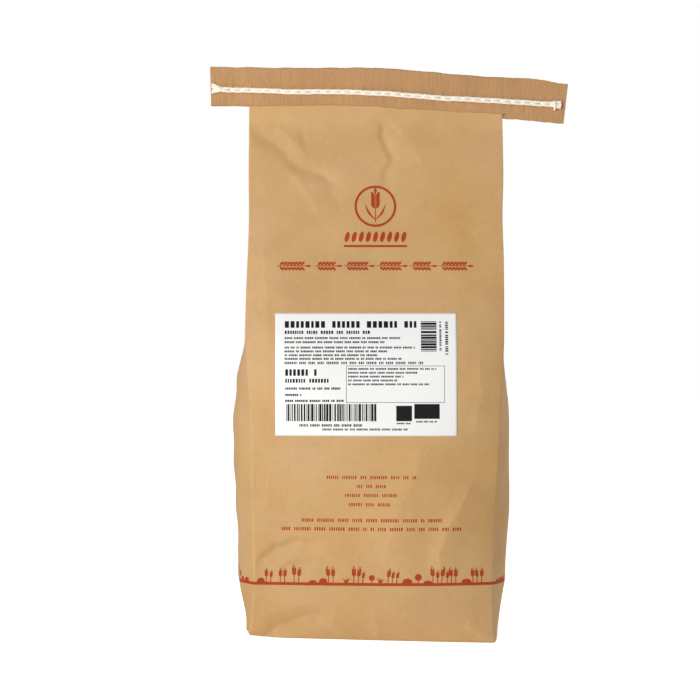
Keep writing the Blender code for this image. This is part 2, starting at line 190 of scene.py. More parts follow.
# Soft unevenness: seed, shortest and longest wave, height; the gussets have a seed for each kind of relief
FRONT_UNEVEN = (5, (38, 110), 0.3)
BACK_UNEVEN = (8, (34, 95), 0.36)
GUSSET_UNEVEN = ((26, 70), 0.3)
GUSSET_SEEDS = (31, 40)

# Mesh of the bag
FRONT_COLUMNS = 176
BACK_COLUMNS = 76
GUSSET_COLUMNS = 34
EDGE_CROWDING = 0.55
FOOT_LEVELS = (0.0, 0.12, 0.35, 0.7, 1.1)
LEVEL_COUNT = 224
TONGUE_LEVELS = 16
FOLD_SMOOTHING = 5
FOLD_SMOOTHING_REACH = 5
FOLD_SMOOTHING_FADE = 3
# How far from a fold edge the paper is painted paler: wear, with a painted highlight on the edge
FOLD_WEAR_AND_HIGHLIGHT_REACH = 1.8
FOLD_SOFT_Z = (340.0, 404.0)
BASE_RINGS = ((1.0, 0.0), (0.985, 0.0), (0.955, 0.66), (0.85, 0.66), (0.6, 0.66), (0.25, 0.66))
WELD_DISTANCE = 0.00001

# Glued lap that runs down the back, and the folded flaps of the base: their corners, seen from above
BACK_LAP_X = 52.0
BACK_LAP_RISE = 0.8
BASE_PAPER = 0.22
SIDE_FLAP = ((87, 42), (87, -42), (50, -8), (50, 8))
BACK_FLAP = ((-86, 43), (86, 43), (62, -8), (-62, -8))
FRONT_FLAP = ((86, -43), (-86, -43), (-62, 10), (62, 10))

# Label: corners on the front, its size, the grid of its sheet, and how its marks lie on it
LABEL_CORNERS = ((-81.6, 254.1), (60.3, 257.6), (62.7, 161.7), (-79.2, 158.2))
LABEL_SIZE = (142.0, 96.0)
LABEL_MARGIN = 10.0
LABEL_STIFFNESS = 0.94
LABEL_LIFT = 0.15
LABEL_COLUMNS = 90
LABEL_ROWS = 64
MARKS_LIFT = 0.04
MARKS_THICKNESS = 0.02
BOX_LINE = 0.35

# Lines of plain blocks on the label: left and right end, distance down, height, and the blocks' width and gap
UPPER_LINES = (
    (7.5, 113, 11.6, 5.2, 0.5, 0.5), (7.5, 76, 16.4, 2.5, 0.5, 0.5), (7.5, 98, 20.4, 1.5, 0.62, 0.42),
    (7.5, 86, 23.6, 1.5, 0.62, 0.42), (7.5, 110, 27.8, 1.5, 0.62, 0.42), (7.5, 88, 30.8, 1.5, 0.62, 0.42),
    (7.5, 80, 33.8, 1.5, 0.62, 0.42), (7.5, 100, 36.6, 1.5, 0.62, 0.42), (7.5, 117, 40.0, 1.9, 0.45, 0.5),
    (8, 33, 49.0, 5.0, 0.4, 0.45), (8, 42, 54.4, 3.0, 0.45, 0.5), (8, 51, 59.8, 1.7, 0.62, 0.42),
    (8, 22, 64.8, 1.7, 0.62, 0.42), (8, 54, 69.4, 1.7, 0.62, 0.42), (57, 126, 44.4, 1.4, 0.62, 0.42),
    (57, 112, 47.4, 1.4, 0.62, 0.42), (57, 101, 50.4, 1.4, 0.62, 0.42), (57, 96, 53.4, 1.4, 0.62, 0.42),
    (57, 121, 56.4, 1.4, 0.62, 0.42),
)
LOWER_LINES = (
    (19, 68, 88.6, 1.9, 0.5, 0.42), (37, 104, 91.6, 1.5, 0.5, 0.42),
    (95, 106.5, 86.8, 1.2, 0.62, 0.42), (110, 127, 85.4, 1.2, 0.62, 0.42),
)
UPRIGHT_LINES = ((128.4, 1.6, 30.0), (133.0, 2.3, 32.0))

# Tape: its edges from left to right, half its thickness, its mesh, and how it is crinkled and drawn in by stitches
TAPE_TOP = (
    (-140, 450.6), (-52, 451.6), (-4, 452.8), (15, 451.9), (47, 449.8), (83, 448.1), (121, 447.1), (147, 443.4),
)
TAPE_FRONT_FOOT = (
    (-140, 419.4), (-106, 419.9), (-86, 420.5), (-67, 421.1), (-41, 421.9), (-14, 421.9), (-3, 421.7), (6, 420.7),
    (32, 420.4), (46, 419.7), (57, 419.2), (89, 418.7), (96.4, 418.4), (98.2, 418.6), (99.2, 414.8),
    (100.0, 414.6), (102.0, 414.5), (147, 411.6),
)
TAPE_BACK_FOOT = ((-140, 419.1), (-107, 419.5), (94, 414.9), (147, 411.7))
TAPE_LEFT_END = (-138.3, -139.9)
TAPE_RIGHT_END = (144.0, 146.8)
TAPE_HALF = 1.15
TAPE_OVERHANG_HALF = 0.4
TAPE_FOOT_HALF = 0.92
TAPE_THINS_FROM = 1.5
TAPE_THINS_OVER = 7.0
TAPE_COLUMNS = 760
TAPE_SIDE_ROWS = 24
TAPE_TURN_ROWS = 6
TAPE_ROW_STEP = 1.4
TAPE_HUG_SHARE = 0.28
CRINKLE_FINE = 1.55
CRINKLE_BROAD = 3.7
GATHER_DEPTH = (0.22, 0.1)
GATHER_REACH = 2.6
BULGE_HEIGHT = 0.16
BULGE_AWAY = 4.5
BULGE_REACH = 2.0
EDGE_WANDER = 0.12
EDGE_REACH = 1.2
TOP_WANDER = 0.14
TOP_REACH = 6
CRINKLE_SEED = 61
EDGE_SEED = 71
TOP_SEED = 72

# Stitches: the line they follow, where the thread ends, and how much of it the chain leaves free
THREAD_LINE = (
    (-139, 432.5), (-99, 432.2), (-72, 431.9), (-50, 432.3), (-25, 432.6), (0, 432.1), (20, 431.3), (45, 429.8),
    (70, 429.2), (93, 428.7), (117, 427.8), (144, 426.7),
)
THREAD_ENDS = (-138.6, 143.2)
CHAIN_START = 8.0
CHAIN_FREE = 12
NEEDLE_THREAD = 0.72
STITCH_SEED = 17

# Print on the paper; its lines of blocks are given like the label's, but by their height on the bag
PRINT_TILT = 1.4
PRINT_LIFT = 0.07
PRINT_LAYER = 0.004
PRINT_LAYERS = 7
PRINT_THICKNESS = 0.05
PRINT_STEP = 2.0
EMBLEM = (-5.0, 341.2)
EMBLEM_PIVOT = (-5, 339)
BAND_Z = 293.4
BAND_PIVOT = (-4, BAND_Z)
BAND_EARS = ((-82, 7), (-52, 5), (-29, 6), (-3, 6), (23, 5), (46, 7))
BAND_PITCH = 2.75
LINES_PIVOT = (-2.8, 110)
LINES_SEED = 5
PRINT_LINES = (
    (-37.8, 32.2, 126.6, 2.5, 0.36, 0.6), (-14.3, 8.7, 119.6, 2.5, 0.36, 0.6), (-23.3, 17.7, 112.6, 2.5, 0.36, 0.6),
    (-20.3, 14.7, 105.4, 2.5, 0.36, 0.6), (-57, 52, 93.0, 2.6, 0.4, 0.55), (-73, 68, 86.2, 2.6, 0.4, 0.55),
)
GROUND_Z = 45.6
GROUND_ROWS = (2.3, 1.1, 0.0)
GROUND_END = 290
GUSSET_WAY = 98.0
MEADOW_SEED = 3
MEADOWS = ((-91, 91), (100, 190), (200, 286), (-190, -100), (-286, -200))


def along(stations, at):
    """Smooth value between stations (position, value): a cubic through them with averaged slopes."""
    places, values = np.array(stations, float).T
    at = np.clip(at, places[0], places[-1])
    slope = np.diff(values) / np.diff(places)
    tangent = np.concatenate(([slope[0]], (slope[:-1] + slope[1:]) / 2, [slope[-1]]))
    i = np.clip(np.searchsorted(places, at, side="right") - 1, 0, len(places) - 2)
    run = places[i + 1] - places[i]
    t = (at - places[i]) / run
    return (
        (2 * t**3 - 3 * t**2 + 1) * values[i]
        + (t**3 - 2 * t**2 + t) * run * tangent[i]
        + (3 * t**2 - 2 * t**3) * values[i + 1]
        + (t**3 - t**2) * run * tangent[i + 1]
    )


def ease(low, high, at):
    """0 at low and 1 at high, with level ends."""
    t = np.clip((at - low) / (high - low), 0, 1)
    return t * t * (3 - 2 * t)


def ripples(x, z, seed, wavelengths, height, waves=12):
    """Uneven swell: a sum of cosines with drawn directions, wavelengths and phases."""
    draw = np.random.default_rng(seed)
    total = np.zeros(np.broadcast(x, z).shape)
    for _ in range(waves):
        wavelength = draw.uniform(*wavelengths)
        angle, phase = draw.uniform(0, 2 * math.pi, 2)
        onward = x * math.cos(angle) + z * math.sin(angle)
        total += np.cos(2 * math.pi * onward / wavelength + phase)
    return height * total / math.sqrt(waves / 2)


def crumple(x, z, seed, box, count, height, lengths, widths):
    """Small folds of handled paper: short drawn lines, each a sharp ridge or valley that dies away."""
    draw = np.random.default_rng(seed)
    total = np.zeros(np.broadcast(x, z).shape)
    for _ in range(count):
        centre_x = draw.uniform(box[0], box[1])
        centre_z = draw.uniform(box[2], box[3])
        angle = draw.uniform(0, math.pi)
        length = draw.uniform(*lengths)
        width = draw.uniform(*widths)
        bend = draw.uniform(-0.15, 0.15) / length
        rise = height * draw.normal()
        dx, dz = x - centre_x, z - centre_z
        onward = dx * math.cos(angle) + dz * math.sin(angle)
        across = dz * math.cos(angle) - dx * math.sin(angle) + bend * onward**2
        total += rise * np.exp(-((onward / length) ** 2) - np.abs(across) / width)
    return total


def off_path(x, z, path):
    """Distance to the left of a path of straight pieces (negative to its right), and the share of it passed."""
    points = np.array(path, float)
    lengths = np.hypot(*np.diff(points, axis=0).T)
    passed = np.concatenate(([0.0], np.cumsum(lengths)))
    nearest = np.full(np.broadcast(x, z).shape, 1e9)
    signed = np.zeros_like(nearest)
    share = np.zeros_like(nearest)
    for i, length in enumerate(lengths):
        (x0, z0), (x1, z1) = points[i], points[i + 1]
        ux, uz = (x1 - x0) / length, (z1 - z0) / length
        onward = np.clip((x - x0) * ux + (z - z0) * uz, 0, length)
        off_x, off_z = x - x0 - onward * ux, z - z0 - onward * uz
        gap = np.hypot(off_x, off_z)
        closer = gap < nearest
        side = np.where(ux * off_z - uz * off_x >= 0, 1.0, -1.0)
        nearest = np.where(closer, gap, nearest)
        signed = np.where(closer, side * gap, signed)
        share = np.where(closer, (passed[i] + onward) / passed[-1], share)
    return signed, share


def creased(x, z, creases):
    """Height of the listed fold lines, and how much paler the paper is painted along them: wear, with a painted
    highlight on the ridges.

    From its line each fold falls, or for a valley rises, to the flat paper across
    a flank on either side, steepest at the line. It dies away at both ends.
    """
    height = np.zeros(np.broadcast(x, z).shape)
    wear_and_highlight = np.zeros_like(height)
    bent_x = x + ripples(x, z, CREASE_SEEDS[0], *CREASE_BENDS)
    bent_z = z + ripples(x, z, CREASE_SEEDS[1], *CREASE_BENDS)
    for path, rise, left, right in creases:
        off, share = off_path(bent_x, bent_z, path)
        fade = ease(0.0, 0.2, share) * (1 - ease(0.8, 1.0, share))
        flank = np.clip(1 - np.where(off > 0, off / left, -off / right), 0, 1)
        height += fade * rise * flank**FLANK_POWER
        # Ridges get the full pale line of wear and painted highlight, valleys less of it
        worn_and_lit = 1.0 if rise > 0 else VALLEY_WEAR_AND_HIGHLIGHT
        wear_and_highlight += fade * np.exp(-((off / WORN_AND_LIT_REACH) ** 2)) * min(1.0, abs(rise)) * worn_and_lit
    return height, wear_and_highlight


def folds(z):
    """Right-hand places of the left and right fold edges."""
    return along(LEFT_FOLD, z), along(RIGHT_FOLD, z)


def soft_depth(z):
    """Half depth in the middle of a panel, where it bends gently into the closed top: a smooth ramp."""
    shoulder, full = HALF_DEPTH[-1]
    slope = (full - TONGUE_HALF) / (NOTCH_CLOSED_Z - shoulder)
    bend = TONGUE_HALF + slope * TOP_BEND * np.log1p(np.exp(np.clip((NOTCH_CLOSED_Z - z) / TOP_BEND, -30, 30)))
    return np.where(z < shoulder + 20, half_depth(z), bend)


def half_depth(z):
    """Half the distance from the front fold edge to the back one: curved up to the shoulder, then straight."""
    shoulder, full = HALF_DEPTH[-1]
    left = np.clip((NOTCH_CLOSED_Z - z) / (NOTCH_CLOSED_Z - shoulder), 0, 1)
    return np.where(z <= shoulder, along(HALF_DEPTH, z), TONGUE_HALF + (full - TONGUE_HALF) * left)


def wave(x, z):
    """How far the flat top bows to the front (negative) and back: one cosine along the tape."""
    return -WAVE_HEIGHT * np.cos(2 * math.pi * (x - WAVE_CREST) / WAVE_LENGTH) * ease(*WAVE_Z, z)


def panel(x, z, swell, shift=0.0):
    """Smooth distance of a panel from the middle plane: the folds' depth and a swell between them.

    u runs from -1 at the left fold to 1 at the right one. The swell is one less a
    power of u, with its crest moved to the right by the shift.
    """
    left, right = folds(z)
    u = np.clip((2 * x - left - right) / (right - left), -1, 1)
    from_crest = np.abs(u - shift * (1 - u * u))
    u = np.abs(u)
    depth = half_depth(z) + (soft_depth(z) - half_depth(z)) * (1 - u**6)
    return depth + np.maximum(0, along(swell, z)) * (1 - from_crest ** along(SWELL_POWER, z)), u


def label_shade(x, z):
    """0 under the label, 1 clear of it."""
    left, right = LABEL_CORNERS[0][0], LABEL_CORNERS[2][0]
    top, foot = LABEL_CORNERS[1][1], LABEL_CORNERS[3][1]
    outside = np.maximum(np.maximum(left - x, x - right), np.maximum(foot - z, z - top))
    return ease(0.0, LABEL_MARGIN, outside)


def relief(x, z, inner, shown, strength, creases, small, broad):
    """Relief of a panel, from its fold lines, small crumples and soft unevenness, and how much paler its folds are
    painted: wear, with a painted highlight.

    inner dies away towards the fold edges of the bag, and shown is 0 where the paper is flat.
    """
    lines, wear_and_highlight = creased(x, z, creases)
    uneven = strength * (crumple(x, z, *small) + ripples(x, z, *broad))
    return (lines * inner + uneven * (0.25 + 0.75 * inner)) * shown, wear_and_highlight * shown


def front_y(x, z, strength):
    """Front panel: its smooth form with its relief, which is nearly flat under the label."""
    depth, u = panel(x, z, FRONT_SWELL, along(CREST_SHIFT, z))
    shown = (1 - ease(*RELIEF_FADE_Z, z)) * (1 - LABEL_STIFFNESS * (1 - label_shade(x, z)))
    height, wear_and_highlight = relief(x, z, 1 - u**14, shown, strength, FRONT_CREASES, FRONT_CRUMPLE, FRONT_UNEVEN)
    return wave(x, z) - depth - height, wear_and_highlight


def back_y(x, z, strength):
    """Back panel: its smooth form with its relief, and a lap glued down its length."""
    depth, u = panel(x, z, BACK_SWELL)
    shown = 1 - ease(*RELIEF_FADE_Z, z)
    height, wear_and_highlight = relief(x, z, 1 - u**8, shown, strength, BACK_CREASES, BACK_CRUMPLE, BACK_UNEVEN)
    lap = BACK_LAP_RISE * ease(-0.7, 0.7, x - BACK_LAP_X - 0.5 * np.sin(z / 37)) * (1 - u**20)
    return wave(x, z) + depth + (height + lap * shown), wear_and_highlight


def gusset_out(v, z, side, strength):
    """How far a gusset stands out past its folds, at v from -1 (front) to 1 (back).

    Below, a parabola with a flat triangle folded in at the foot. Above, it is
    tucked in as a V that starts narrow and widens, as deep as the paper allows.
    """
    swell = RIGHT_GUSSET_SWELL if side > 0 else LEFT_GUSSET_SWELL
    tuck_z = RIGHT_TUCK_Z if side > 0 else LEFT_TUCK_Z
    belly = np.maximum(0, along(swell, z)) * (1 - v * v)
    apex = float(along(swell, CORNER_FOLD_Z))
    corner = CORNER_FOLD_FOOT * (1 - np.abs(v)) + (apex - CORNER_FOLD_FOOT) * z / CORNER_FOLD_Z
    out = np.where(z < CORNER_FOLD_Z, np.minimum(belly, corner), belly)
    tucked = ease(*tuck_z, z)
    width = TUCK_START_WIDTH + (1 - TUCK_START_WIDTH) * tucked
    depth = np.sqrt(np.maximum(0, GUSSET_HALF_WIDTH**2 - half_depth(z) ** 2))
    out = out - depth * tucked * np.maximum(0, 1 - np.abs(v) / width)
    across = v * GUSSET_HALF_WIDTH
    small = crumple(across, z, GUSSET_SEEDS[0] + side, *GUSSET_CRUMPLE)
    broad = ripples(across, z, GUSSET_SEEDS[1] + side, *GUSSET_UNEVEN)
    centre_line = CENTRE_LINE_RISE * np.exp(-np.abs(across) / CENTRE_LINE_REACH) * (1 - tucked)
    calm = (1 - v**8) * (1 - ease(*GUSSET_FADE_Z, z))
    return out + (strength * (small + broad) + centre_line) * calm


def spread(count, middle=False):
    """count + 1 places from -1 to 1, crowded at the ends and, for a gusset, in the middle too."""
    t = np.linspace(-1, 1, count + 1)
    if middle:
        return t - EDGE_CROWDING * np.sin(2 * math.pi * t) / (2 * math.pi)
    return t + EDGE_CROWDING * np.sin(math.pi * t) / math.pi


def tongue_top(x):
    """Top edge of the paper inside the fold of the tape."""
    return along(TAPE_TOP, x) - 0.8


def corner_lift(x, y):
    """How far the paper is off the floor: it rises towards the front left corner, steepest at its tip."""
    lifted = ease(PANEL_REACH - CORNER_LIFT_REACH, PANEL_REACH, -x) * ease(-10.0, 30.0, -y)
    return CORNER_LIFT * lifted**1.5


def foot_shaped(points):
    """Rounds the foot with a quarter circle and lifts the front left corner, less and less up the paper."""
    x, y, z = points[..., 0], points[..., 1], points[..., 2]
    low = np.clip(FOOT_RADIUS - z, 0, FOOT_RADIUS)
    inset = FOOT_RADIUS - np.sqrt(FOOT_RADIUS**2 - low**2)
    rise = corner_lift(x, y) * np.clip(1 - z / CORNER_LIFT_FADE_Z, 0, 1)
    return np.stack((x * (1 - inset / PANEL_REACH), y * (1 - inset / DEPTH_REACH), z + rise), axis=-1)


class PaperSurface:
    """The bag's paper as a grid of rows round it, for the mesh and for what is printed or stuck on it.

    rows are the heights; a row runs from the front left fold along the front,
    the right gusset, the back and the left gusset. Above the closed notches
    only the panels and one middle point at each edge go on.
    """

    def __init__(self, strength):
        self.rows = np.concatenate((FOOT_LEVELS, np.linspace(FOOT_RADIUS, NOTCH_CLOSED_Z, LEVEL_COUNT)))
        low_z = self.rows[:, None]
        share = np.linspace(0, 1, TONGUE_LEVELS + 1)[1:, None]
        self.front_u = spread(FRONT_COLUMNS)
        self.gusset_v = spread(2 * GUSSET_COLUMNS, middle=True)
        front, front_wear_and_highlight = self.panel_rows(low_z, share, self.front_u, front_y, strength)
        back, back_wear_and_highlight = self.panel_rows(low_z, share, spread(BACK_COLUMNS), back_y, strength)
        right = self.gusset_rows(low_z, 1, strength)
        left = self.gusset_rows(low_z, -1, strength)
        count = len(self.rows)
        ring = np.concatenate((front[:count], right, back[:count, ::-1], left[:, ::-1]), axis=1)
        self.back_start = FRONT_COLUMNS + 1 + right.shape[1]
        wear_and_highlight = np.zeros(ring.shape[:2])
        wear_and_highlight[:, : FRONT_COLUMNS + 1] = front_wear_and_highlight[:count]
        wear_and_highlight[:, self.back_start : self.back_start + BACK_COLUMNS + 1] = back_wear_and_highlight[:count, ::-1]
        corners = (0, FRONT_COLUMNS + 1, self.back_start, self.back_start + BACK_COLUMNS + 1)
        ring, near = self.soft_folds(ring, corners, 1 - ease(*FOLD_SOFT_Z, low_z))
        self.wear_and_highlight = np.clip(wear_and_highlight + near, 0, 1)
        self.ring = foot_shaped(ring)
        self.tongue_front, self.tongue_back = front[count:], back[count:]
        self.out = self.outward()

    @staticmethod
    def panel_rows(low_z, share, u, surface, strength):
        """A panel's rows up to the notches, and then up to the paper's uneven top edge."""
        left, right = folds(low_z)
        low_x = (left + right) / 2 + u * (right - left) / 2
        low = np.stack(np.broadcast_arrays(low_x, low_z), axis=-1)
        left, right = folds(NOTCH_CLOSED_Z + share * (CLOSED_TOP_Z + 10 - NOTCH_CLOSED_Z))
        high_x = (left + right) / 2 + u * (right - left) / 2
        high_z = NOTCH_CLOSED_Z + (tongue_top(high_x) - NOTCH_CLOSED_Z) * share
        flat = np.concatenate((low, np.stack((high_x, high_z), axis=-1)))
        y, wear_and_highlight = surface(flat[..., 0], flat[..., 1], strength)
        return np.stack((flat[..., 0], y, flat[..., 1]), axis=-1), wear_and_highlight

    @staticmethod
    def gusset_rows(z, side, strength):
        """A gusset's rows, from its front fold to its back one."""
        v = spread(2 * GUSSET_COLUMNS, middle=True)
        fold = folds(z)[1] if side > 0 else folds(z)[0]
        x = fold + side * gusset_out(v, z, side, strength)
        y = v * (half_depth(z) - TONGUE_HALF) + wave(x, z)
        return np.stack(np.broadcast_arrays(x, y, z), axis=-1)

    @staticmethod
    def soft_folds(ring, corners, softness):
        """Rounds the four fold edges by averaging with the neighbours, as much as each row's softness says.

        It gives the new ring, and how near each column is to a fold, where the paper is painted paler: wear, with a
        painted highlight on the fold edge.
        """
        columns = ring.shape[1]
        index = np.arange(columns)
        offsets = [(index - c + 0.5 + columns / 2) % columns - columns / 2 for c in corners]
        away = np.min(np.abs(offsets), axis=0)
        near = np.clip(1 - (away - FOLD_SMOOTHING_REACH) / FOLD_SMOOTHING_FADE, 0, 1)
        weight = (near[None, :] * softness)[..., None]
        for _ in range(FOLD_SMOOTHING):
            mean = (np.roll(ring, 1, axis=1) + np.roll(ring, -1, axis=1)) / 4 + ring / 2
            ring = ring + (mean - ring) * weight
        return ring, np.exp(-((away / FOLD_WEAR_AND_HIGHLIGHT_REACH) ** 2))[None, :]

    def outward(self):
        """Unit normals of the ring, from the differences along it and up it."""
        across = np.roll(self.ring, -1, axis=1) - np.roll(self.ring, 1, axis=1)
        up = np.gradient(self.ring, axis=0)
        normal = np.cross(across, up)
        return normal / np.maximum(1e-9, np.linalg.norm(normal, axis=-1, keepdims=True))

    def column_of(self, x, z):
        """Column of the front at this place; past a fold, the one as far round the gusset and the back."""
        left, right = folds(z)
        u = (2 * x - left - right) / (right - left)
        column = np.interp(u, self.front_u, np.arange(FRONT_COLUMNS + 1))
        past = np.maximum(x - right, left - x)
        v = past / half_depth(z) - 1
        turned = 1 + np.interp(v, self.gusset_v, np.arange(2 * GUSSET_COLUMNS + 1))
        u = 2 * (past - 2 * half_depth(z)) / (right - left) - 1
        behind = np.interp(u, spread(BACK_COLUMNS), np.arange(BACK_COLUMNS + 1)) + 2 * GUSSET_COLUMNS + 2
        turned = np.where(v <= 1, turned, behind)
        return np.where(past <= 0, column, np.where(x > right, FRONT_COLUMNS + turned, -turned))

    def on(self, column, z, lift):
        """Point at a column and a height, lifted off the paper along its normal: bilinear in the ring."""
        row = np.interp(z, self.rows, np.arange(len(self.rows)))
        i = np.clip(np.floor(row).astype(int), 0, len(self.rows) - 2)
        j = np.floor(column).astype(int)
        s, t = (row - i)[..., None], (column - j)[..., None]
        columns = self.ring.shape[1]
        a, b = j % columns, (j + 1) % columns
        lifted = self.ring + lift * self.out
        low = lifted[i, a] * (1 - t) + lifted[i, b] * t
        high = lifted[i + 1, a] * (1 - t) + lifted[i + 1, b] * t
        return low * (1 - s) + high * s

    def on_front(self, place, lift):
        """Points of the paper at places (right, height), lifted off it; past a fold they go on round the bag."""
        x, z = place[..., 0], place[..., 1]
        return self.on(self.column_of(x, z), z, lift)


def mesh_piece(name, points, faces, material, smooth=True):
    """A new object from millimetre points and faces, at the origin."""
    data = bpy.data.meshes.new(name)
    data.from_pydata(np.asarray(points, float) * MM, [], faces)
    data.update()
    data.materials.append(material)
    if smooth:
        data.shade_smooth()
    piece = bpy.data.objects.new(name, data)
    bpy.context.scene.collection.objects.link(piece)
    return piece


def grid_faces(rows, columns, closed=False, first=0):
    """Quads of a grid whose points are numbered row by row; closed joins its last column to its first."""
    last = columns if closed else columns - 1
    i, j = np.meshgrid(np.arange(rows - 1), np.arange(last), indexing="ij")
    a = i * columns + j
    b = i * columns + (j + 1) % columns
    quads = np.stack((a, b, b + columns, a + columns), axis=-1).reshape(-1, 4)
    return quads + first


def join_grids(grids, closed=False):
    """Points and faces of several grids, each an array of rows by columns by three."""
    points, faces, first = [], [], 0
    for grid in grids:
        rows, columns = grid.shape[:2]
        points.append(grid.reshape(-1, 3))
        faces.append(grid_faces(rows, columns, closed, first))
        first += rows * columns
    return np.concatenate(points), np.concatenate(faces)


def weld(piece):
    """Merges points that coincide and turns every face outwards."""
    mesh = bmesh.new()
    mesh.from_mesh(piece.data)
    bmesh.ops.remove_doubles(mesh, verts=mesh.verts, dist=WELD_DISTANCE)
    bmesh.ops.recalc_face_normals(mesh, faces=mesh.faces)
    mesh.to_mesh(piece.data)
    mesh.free()


def thicken(piece, thickness):
    """Gives an open sheet its thickness, inwards, with closed edges."""
    shell = piece.modifiers.new("thickness", "SOLIDIFY")
    shell.thickness = thickness * MM
    shell.offset = -1.0
    shell.use_even_offset = False


def directions(path):
    """Unit steps along a path of points."""
    ahead = np.gradient(path, axis=0)
    return ahead / np.linalg.norm(ahead, axis=1, keepdims=True)


def tube(path, radius, sides, twist, plies):
    """Closed tube along a path of points: circles across it, lobed where two plies are twisted together."""
    path = np.asarray(path, float)
    ahead = directions(path)
    across = np.cross(ahead, (0.0, 1.0, 0.0))
    across /= np.maximum(1e-6, np.linalg.norm(across, axis=1, keepdims=True))
    rise = np.cross(across, ahead)
    steps = np.linalg.norm(np.diff(path, axis=0), axis=1)
    length = np.concatenate(([0.0], np.cumsum(steps)))
    angle = 2 * math.pi * np.arange(sides) / sides
    lobes = 1 + plies * np.cos(2 * (angle[None, :] - twist * length[:, None]))
    reach = np.broadcast_to(radius, length.shape)[:, None] * lobes
    around = np.cos(angle)[None, :, None] * across[:, None] + np.sin(angle)[None, :, None] * rise[:, None]
    rings = path[:, None] + reach[..., None] * around
    start, end = path[:1], path[-1:]
    points = np.concatenate((rings.reshape(-1, 3), start, end))
    count = len(path)
    faces = [tuple(f) for f in grid_faces(count, sides, closed=True)]
    for k in range(sides):
        n = (k + 1) % sides
        faces.append((count * sides, n, k))
        faces.append((count * sides + 1, (count - 1) * sides + k, (count - 1) * sides + n))
    around_share = np.tile(np.arange(sides) / sides, count)
    along_mm = np.repeat(length, sides)
    uv = np.stack((np.append(along_mm, (0.0, length[-1])), np.append(around_share, (0.5, 0.5))), axis=1)
    return points, faces, uv


def rounded(points, count):
    """count points on a smooth curve through given ones: a cubic in each coordinate over their distances."""
    points = np.asarray(points, float)
    steps = np.linalg.norm(np.diff(points, axis=0), axis=1)
    place = np.concatenate(([0.0], np.cumsum(steps)))
    at = np.linspace(0, place[-1], count)
    return np.stack([along(tuple(zip(place, axis)), at) for axis in points.T], axis=1)


def new_material(name, roughness, specular):
    """Material with one Principled shader; returns it, its node tree, the shader and the object's coordinates."""
    material = bpy.data.materials.new(name)
    material.use_nodes = True
    tree = material.node_tree
    shader = tree.nodes["Principled BSDF"]
    shader.inputs["Roughness"].default_value = roughness
    shader.inputs["Specular IOR Level"].default_value = specular
    return material, tree, shader, add_node(tree, "ShaderNodeTexCoord").outputs["Object"]


def add_node(tree, kind, settings=None, inputs=None):
    """A node with its settings and the values or links of its inputs."""
    made = tree.nodes.new(kind)
    for key, value in (settings or {}).items():
        setattr(made, key, value)
    for key, value in (inputs or {}).items():
        socket = made.inputs[key]
        if isinstance(value, bpy.types.NodeSocket):
            tree.links.new(value, socket)
        else:
            socket.default_value = value
    return made


def noise(tree, place, scale, detail=2.0, roughness=0.5, distortion=0.0):
    """Noise value at a place."""
    inputs = {"Vector": place, "Scale": scale, "Detail": detail, "Roughness": roughness, "Distortion": distortion}
    return add_node(tree, "ShaderNodeTexNoise", None, inputs).outputs["Fac"]


def stretched(tree, place, scale):
    """The place scaled along each axis, for streaks."""
    return add_node(tree, "ShaderNodeMapping", None, {"Vector": place, "Scale": scale}).outputs["Vector"]


def arithmetic(tree, operation, a, b=0.0, clamp=False):
    """One step of arithmetic."""
    made = add_node(tree, "ShaderNodeMath", {"operation": operation, "use_clamp": clamp}, {0: a, 1: b})
    return made.outputs[0]


def weighted(tree, parts, middle=0.5):
    """middle plus each value's distance from a half, times its weight."""
    total = middle
    for value, weight in parts:
        share = arithmetic(tree, "MULTIPLY", arithmetic(tree, "SUBTRACT", value, 0.5), weight)
        total = arithmetic(tree, "ADD", share, total)
    return total


def ramp(tree, value, stops):
    """Colours at positions from 0 to 1."""
    made = add_node(tree, "ShaderNodeValToRGB", None, {"Fac": value})
    band = made.color_ramp
    while len(band.elements) < len(stops):
        band.elements.new(0.5)
    for element, (place, colour) in zip(band.elements, stops):
        element.position = place
        element.color = (*colour, 1)
    return made.outputs["Color"]


def blend_colour(tree, factor, first, second, blend="MIX"):
    """Mix of two colours."""
    settings = {"data_type": "RGBA", "blend_type": blend}
    return add_node(tree, "ShaderNodeMix", settings, {0: factor, 6: first, 7: second}).outputs[2]


def threshold(tree, value, low, high):
    """0 below low, 1 above high."""
    inputs = {"Value": value, "From Min": low, "From Max": high}
    return add_node(tree, "ShaderNodeMapRange", {"interpolation_type": "SMOOTHSTEP"}, inputs).outputs["Result"]


def bump(tree, shader, height, distance, strength):
    """Small relief on the shader's normal."""
    made = add_node(tree, "ShaderNodeBump", None, {"Height": height, "Distance": distance, "Strength": strength})
    tree.links.new(made.outputs["Normal"], shader.inputs["Normal"])


def toned(tree, shader, value, colour, low, middle, high):
    """The colour across a value, into the shader: low and high are (position, three factors)."""
    stops = [(low[0], scaled(colour, low[1])), (high[0], scaled(colour, high[1]))]
    if middle:
        stops.insert(1, (middle, colour))
    paint = ramp(tree, value, stops)
    tree.links.new(paint, shader.inputs["Base Color"])
    return paint


def scaled(colour, by):
    """A colour made lighter or darker."""
    return tuple(min(1.0, c * b) for c, b in zip(colour, by))


def kraft_texture(tree, place):
    """Kraft paper's tone about a half, and its height."""
    clouds = noise(tree, place, 42.0, 2.0, 0.5)
    mottle = noise(tree, place, 230.0, 3.0, 0.55)
    fibres = noise(tree, place, 620.0, 2.0, 0.6, 2.6)
    tangle = noise(tree, stretched(tree, place, (900.0, 900.0, 560.0)), 1.0, 3.0, 0.62, 1.7)
    value = weighted(tree, ((clouds, 0.30), (mottle, 0.20), (fibres, 0.20), (tangle, 0.22)))
    return value, weighted(tree, ((mottle, 0.4), (fibres, 0.5), (tangle, 0.5)))


